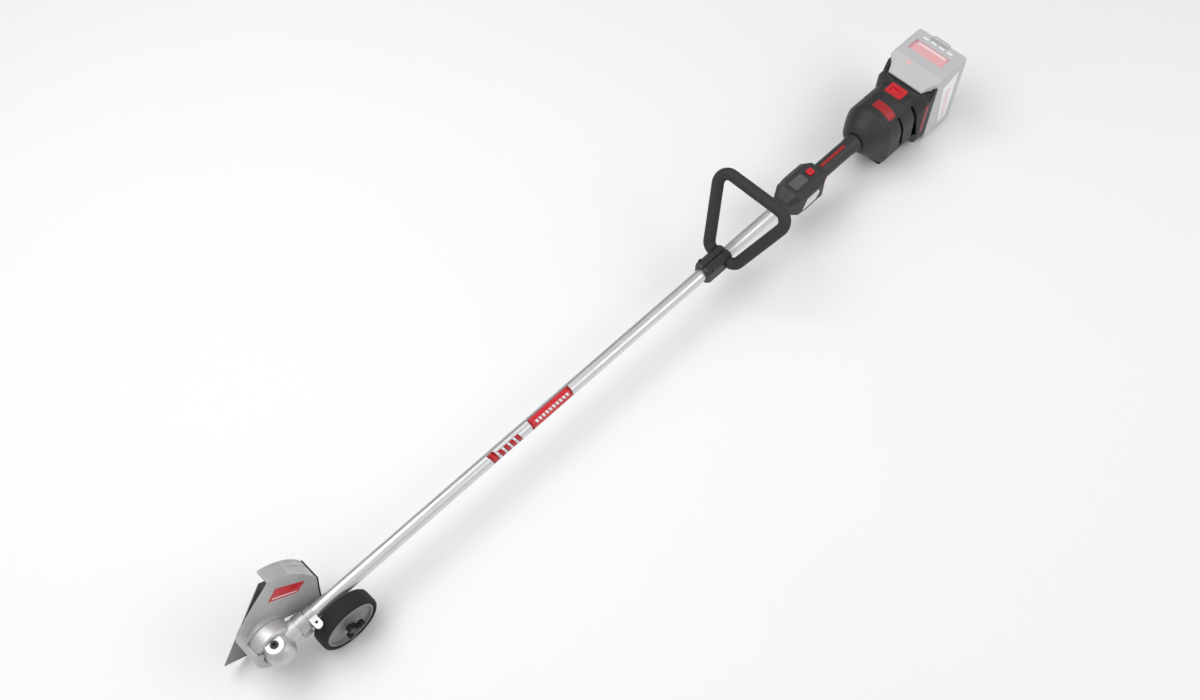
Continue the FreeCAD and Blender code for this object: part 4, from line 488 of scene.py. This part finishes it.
def blended(a, b, share):
    """A value or point that share of the way from a to b."""
    return a + (b - a) * share


def surface_of(node):
    """A search tree of a CAD node's skin, for films that lie on it."""
    mesh = NODES[node].data
    corners = [corner.co.copy() for corner in mesh.vertices]
    return BVHTree.FromPolygons(corners, [tuple(face.vertices) for face in mesh.polygons])


def landing(surface, start, heading, lift):
    """Where a straight line in the drawing meets the surface, lifted off it in millimetres."""
    heading = Vector(heading)
    point = surface.ray_cast(spot(*start), heading)[0]
    return point - heading * (lift / 1000)


# ------------------------------------------------------------------------------ tube label

TUBE_RADIUS = 12.7
FILM = 0.14
# Stations along the tube in millimetres, and angles round it in degrees.
LABEL_FRONT, LABEL_REAR, LABEL_ANGLES = 570.0, 672.0, (-18.0, 106.0)
MARKS, MARK_START, MARK_PITCH, MARK_LENGTH, MARK_ANGLES = 10, 581.0, 8.4, 5.4, (27.0, 57.0)
BLOCK_FRONT, BLOCK_REAR, BLOCK_ANGLES = 471.0, 486.0, (-12.0, 98.0)
BARS, BAR_START, BAR_PITCH, BAR_LENGTH, BAR_ANGLES = 4, 491.5, 13.5, 9.0, (18.0, 98.0)


def tube_film(shells, x0, x1, angles, slant=0.0, lift=0.0):
    """A film on the tube; angles run from +Z towards -Y, slant moves its far side along X."""
    from_angle, to_angle = angles

    def place(u, v, top):
        angle = math.radians(blended(from_angle, to_angle, v))
        radius = TUBE_RADIUS + lift + (FILM if top else 0.005)
        ahead = blended(x0, x1, u) + slant * v
        return spot(ahead, -radius * math.sin(angle), radius * math.cos(angle))

    shells.sheet(max(2, int((x1 - x0) / 6)), max(4, int((to_angle - from_angle) / 6)), place)


def make_tube_label(finishes):
    """Red label with a row of pale marks, and ahead of it a block and slanting red bars."""
    red = Shells()
    tube_film(red, LABEL_FRONT, LABEL_REAR, LABEL_ANGLES)
    tube_film(red, BLOCK_FRONT, BLOCK_REAR, BLOCK_ANGLES, slant=5.0)
    for i in range(BARS):
        start = BAR_START + i * BAR_PITCH
        tube_film(red, start, start + BAR_LENGTH, BAR_ANGLES, slant=5.0)
    add_piece("tube_label", red.points, red.faces, "frame",
              finishes["badge_print"])
    pale = Shells()
    for i in range(MARKS):
        start = MARK_START + i * MARK_PITCH
        tube_film(pale, start, start + MARK_LENGTH, MARK_ANGLES, slant=2.0, lift=FILM)
    add_piece("tube_label_marks", pale.points, pale.faces, "frame",
              finishes["pale_label"])


# The guard badge's lower and upper edges, front to rear, as (x, z) in the drawing.
BADGE_LOW = (Vector((32.0, 67.5)), Vector((78.5, 36.5)))
BADGE_HIGH = (Vector((53.0, 83.0)), Vector((98.0, 47.5)))


def make_guard_badge_line(finishes):
    """Pale line along the lower edge of the guard's badge."""
    surface = surface_of("guard_badge")

    def place(u, v, top):
        along = blended(0.07, 0.93, u)
        share = blended(0.13, 0.26, v)
        x, z = blended(blended(*BADGE_LOW, along), blended(*BADGE_HIGH, along), share)
        return landing(surface, (x, -200.0, z), (0, 1, 0), 0.2 if top else 0.02)

    line = Shells()
    line.sheet(12, 2, place)
    add_piece("guard_badge_line", line.points, line.faces, "frame",
              finishes["faint_label"])


# ------------------------------------------------------------------------------ loop sleeve

PIVOT_AHEAD, PIVOT_HEIGHT = 1085.0, 5.0
LOOP_TILT = 55.0
# Each corner of the loop: half its width there, distance from the pivot, bend radius.
LOOP_CORNERS = ((33.0, 0.0, 19.0), (90.5, 146.5, 22.0))
SLEEVE_RADIUS, SLEEVE_BORE, SLEEVE_END = 12.2, 8.05, 19.4


def loop_line(step):
    """Points and headings along the loop's centre line, in its own plane, as (y, v) pairs."""
    corners = [(-SLEEVE_END, 0.0, 0.0)]
    corners += [(-half, v, bend) for half, v, bend in LOOP_CORNERS]
    corners += [(half, v, bend) for half, v, bend in reversed(LOOP_CORNERS)]
    corners.append((SLEEVE_END, 0.0, 0.0))
    knots = [Vector((y, v)) for y, v, _ in corners]
    line = []

    def run(start, stop):
        length = (stop - start).length
        count = max(1, round(length / step))
        heading = (stop - start).normalized()
        for k in range(count):
            line.append((start + (stop - start) * k / count, heading))

    cursor = knots[0]
    for i in range(1, len(knots) - 1):
        back = (knots[i - 1] - knots[i]).normalized()
        ahead = (knots[i + 1] - knots[i]).normalized()
        bend = corners[i][2]
        half_turn = (math.pi - back.angle(ahead)) / 2
        reach = bend * math.tan(half_turn)
        start = knots[i] + back * reach
        run(cursor, start)
        centre = knots[i] + (back + ahead).normalized() * (bend / math.cos(half_turn))
        spoke = start - centre
        side = 1.0 if back.cross(ahead) < 0 else -1.0
        count = max(4, round(2 * half_turn * bend / step))
        for k in range(count):
            turn = side * 2 * half_turn * k / count
            swung = Matrix.Rotation(turn, 2) @ spoke
            line.append((centre + swung, Matrix.Rotation(turn, 2) @ -back))
        cursor = knots[i] + ahead * reach
    run(cursor, knots[-1])
    line.append((knots[-1], (knots[-1] - cursor).normalized()))
    return line


def sleeve_radius(i, turn, from_end):
    """Outer radius of the sleeve: slightly wavy, with a seam inside and rounded ends."""
    side = (math.cos(turn), math.sin(turn))
    waves = noise.noise(Vector((i * 0.045, side[0] * 0.7, side[1] * 0.7)))
    fine = noise.noise(Vector((i * 0.5 + 40, side[0] * 3, side[1] * 3)))
    seam = 0.16 * math.exp(-((turn - math.pi) / 0.05) ** 2)
    lip = 1.4 * max(0.0, 1.0 - from_end / 3.0) ** 2
    return SLEEVE_RADIUS - 0.14 + 0.10 * waves + 0.04 * fine - seam - lip


def make_sleeve(finishes):
    """Foam sleeve over the bent tube: softly uneven, with rolled ends and a faint mould seam."""
    around, step = 56, 2.0
    line = loop_line(step)
    count = len(line)
    lean = math.radians(LOOP_TILT)
    rise = Vector((math.cos(lean), 0.0, math.sin(lean)))
    normal = Vector((math.sin(lean), 0.0, -math.cos(lean)))
    pivot = Vector((PIVOT_AHEAD, 0.0, PIVOT_HEIGHT))

    def at(centre, heading, radius, turn):
        across = Vector((0.0, -heading.y, 0.0)) + rise * heading.x
        offset = across * math.cos(turn) + normal * math.sin(turn)
        y, v = centre
        return spot(*(pivot + rise * v + Vector((0.0, y, 0.0)) + offset * radius))

    points, faces = [], []
    turns = [2 * math.pi * k / around for k in range(around)]
    for i, (centre, heading) in enumerate(line):
        from_end = min(i, count - 1 - i) * step
        for turn in turns:
            points.append(at(centre, heading, sleeve_radius(i, turn, from_end), turn))
    for centre, heading in line:
        for turn in turns:
            points.append(at(centre, heading, SLEEVE_BORE, turn))
    inside = count * around
    for i in range(count - 1):
        for k in range(around):
            following = (k + 1) % around
            a, b = i * around + k, i * around + following
            c, d = (i + 1) * around + following, (i + 1) * around + k
            faces.append((a, b, c, d))
            faces.append((inside + a, inside + d, inside + c, inside + b))
    for i in (0, count - 1):
        for k in range(around):
            a, b = i * around + k, i * around + (k + 1) % around
            faces.append((a, b, inside + b, inside + a))
    sleeve = add_piece("loop_sleeve", points, faces, "loop", finishes["loop_foam"])
    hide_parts("loop_grip")


# ------------------------------------------------------------------------------ head and battery

HEAD_SIDE = 61.6
BATTERY_SIDE, BATTERY_TOP = 61.6, 84.6
TOP_PRINT, SIDE_PRINT = 0.25, 0.3
# Outlines of films on a side, as (x, z) in the drawing.
HEAD_TRIM = ((1639.5, 33), (1647.5, 35), (1647.5, -46), (1639.5, -42))
SIDE_PANEL = ((1690, 50), (1739, 66), (1739, -76), (1711, -76))
SIDE_MARK = ((1707, 26), (1721, 30), (1729, -56), (1716, -56))
DASH_STARTS, DASH_LENGTH = (-34, -14, 6, 26), 15
DOT_AHEAD, DOT_SIDE, DOT_RADIUS = 1671.0, 20.0, 4.5


def flat_film(shells, corners, outward, thickness, steps=10):
    """A four-cornered film; corners are drawing points and outward is a drawing direction."""
    a, b, c, d = [Vector(corner) for corner in corners]
    lift = Vector(outward)

    def place(u, v, top):
        point = blended(blended(a, b, u), blended(d, c, u), v)
        return spot(*(point + lift * (thickness if top else 0.03)))

    shells.sheet(steps, steps, place)


def top_film(shells, x0, x1, y0, y1, height, thickness, steps=10):
    """A level film between two stations and two distances across."""
    corners = ((x0, y0, height), (x1, y0, height), (x1, y1, height), (x0, y1, height))
    flat_film(shells, corners, (0, 0, 1), thickness, steps)


def side_films(shells, outline, reach, thickness):
    """The same film on the -Y and the +Y side, reach away from the middle."""
    for side in (-1, 1):
        corners = [(x, side * reach, z) for x, z in outline]
        flat_film(shells, corners, (0, side, 0), thickness)


def make_side_stripes(finishes):
    """Narrow red trim down each side of the motor head's rear frame."""
    shells = Shells()
    side_films(shells, HEAD_TRIM, HEAD_SIDE, 0.5)
    add_piece("head_side_trims", shells.points, shells.faces, "frame",
              finishes["inlay_red"])


def make_battery_labels(finishes):
    """Faded labels of the pack: a tinted top label with a pale line, and a pale side panel."""
    tinted = Shells()
    top_film(tinted, 1700, 1731, -39, 46, BATTERY_TOP, TOP_PRINT)
    add_piece("battery_top_label", tinted.points, tinted.faces, "battery",
              finishes["faded_label"])
    pale = Shells()
    for y in DASH_STARTS:
        top_film(pale, 1741.5, 1747.5, y, y + DASH_LENGTH, BATTERY_TOP, TOP_PRINT, 4)
    side_films(pale, SIDE_PANEL, BATTERY_SIDE, SIDE_PRINT)
    add_piece("battery_pale_labels", pale.points, pale.faces, "battery",
              finishes["pale_label"])
    surface = surface_of("battery_case")

    def dot(u, v, top):
        across, along = 2 * u - 1, 2 * v - 1
        x = DOT_AHEAD + DOT_RADIUS * along * math.sqrt(1 - across ** 2 / 2)
        y = DOT_SIDE + DOT_RADIUS * across * math.sqrt(1 - along ** 2 / 2)
        return landing(surface, (x, y, 150.0), (0, 0, -1), 0.3 if top else 0.03)

    light = Shells()
    light.sheet(10, 10, dot)
    add_piece("battery_status_dot", light.points, light.faces, "battery",
              finishes["faded_label"])
    faint = Shells()
    top_film(faint, 1721, 1728, -36, 43, BATTERY_TOP + TOP_PRINT, 0.15)
    side_films(faint, SIDE_MARK, BATTERY_SIDE + SIDE_PRINT, 0.25)
    add_piece("battery_faint_marks", faint.points, faint.faces, "battery",
              finishes["faint_label"])


def make_lock_spring(finishes):
    """The lock button's coil spring, copied from the CAD node as a rigid piece on the frame; the
    real spring shortens under the button as it is pressed.
    """
    spring = bpy.data.objects.new("lock_spring_coil", NODES["lock_spring"].data.copy())
    bpy.context.scene.collection.objects.link(spring)
    spring.data.materials.clear()
    spring.data.materials.append(finishes["spring_steel"])
    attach(spring, "frame")
    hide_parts("lock_spring")
    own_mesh(spring)


make_camera()
make_studio()
FINISHES = dress_nodes()
make_tube_label(FINISHES)
make_guard_badge_line(FINISHES)
make_sleeve(FINISHES)
make_side_stripes(FINISHES)
make_battery_labels(FINISHES)
make_lock_spring(FINISHES)
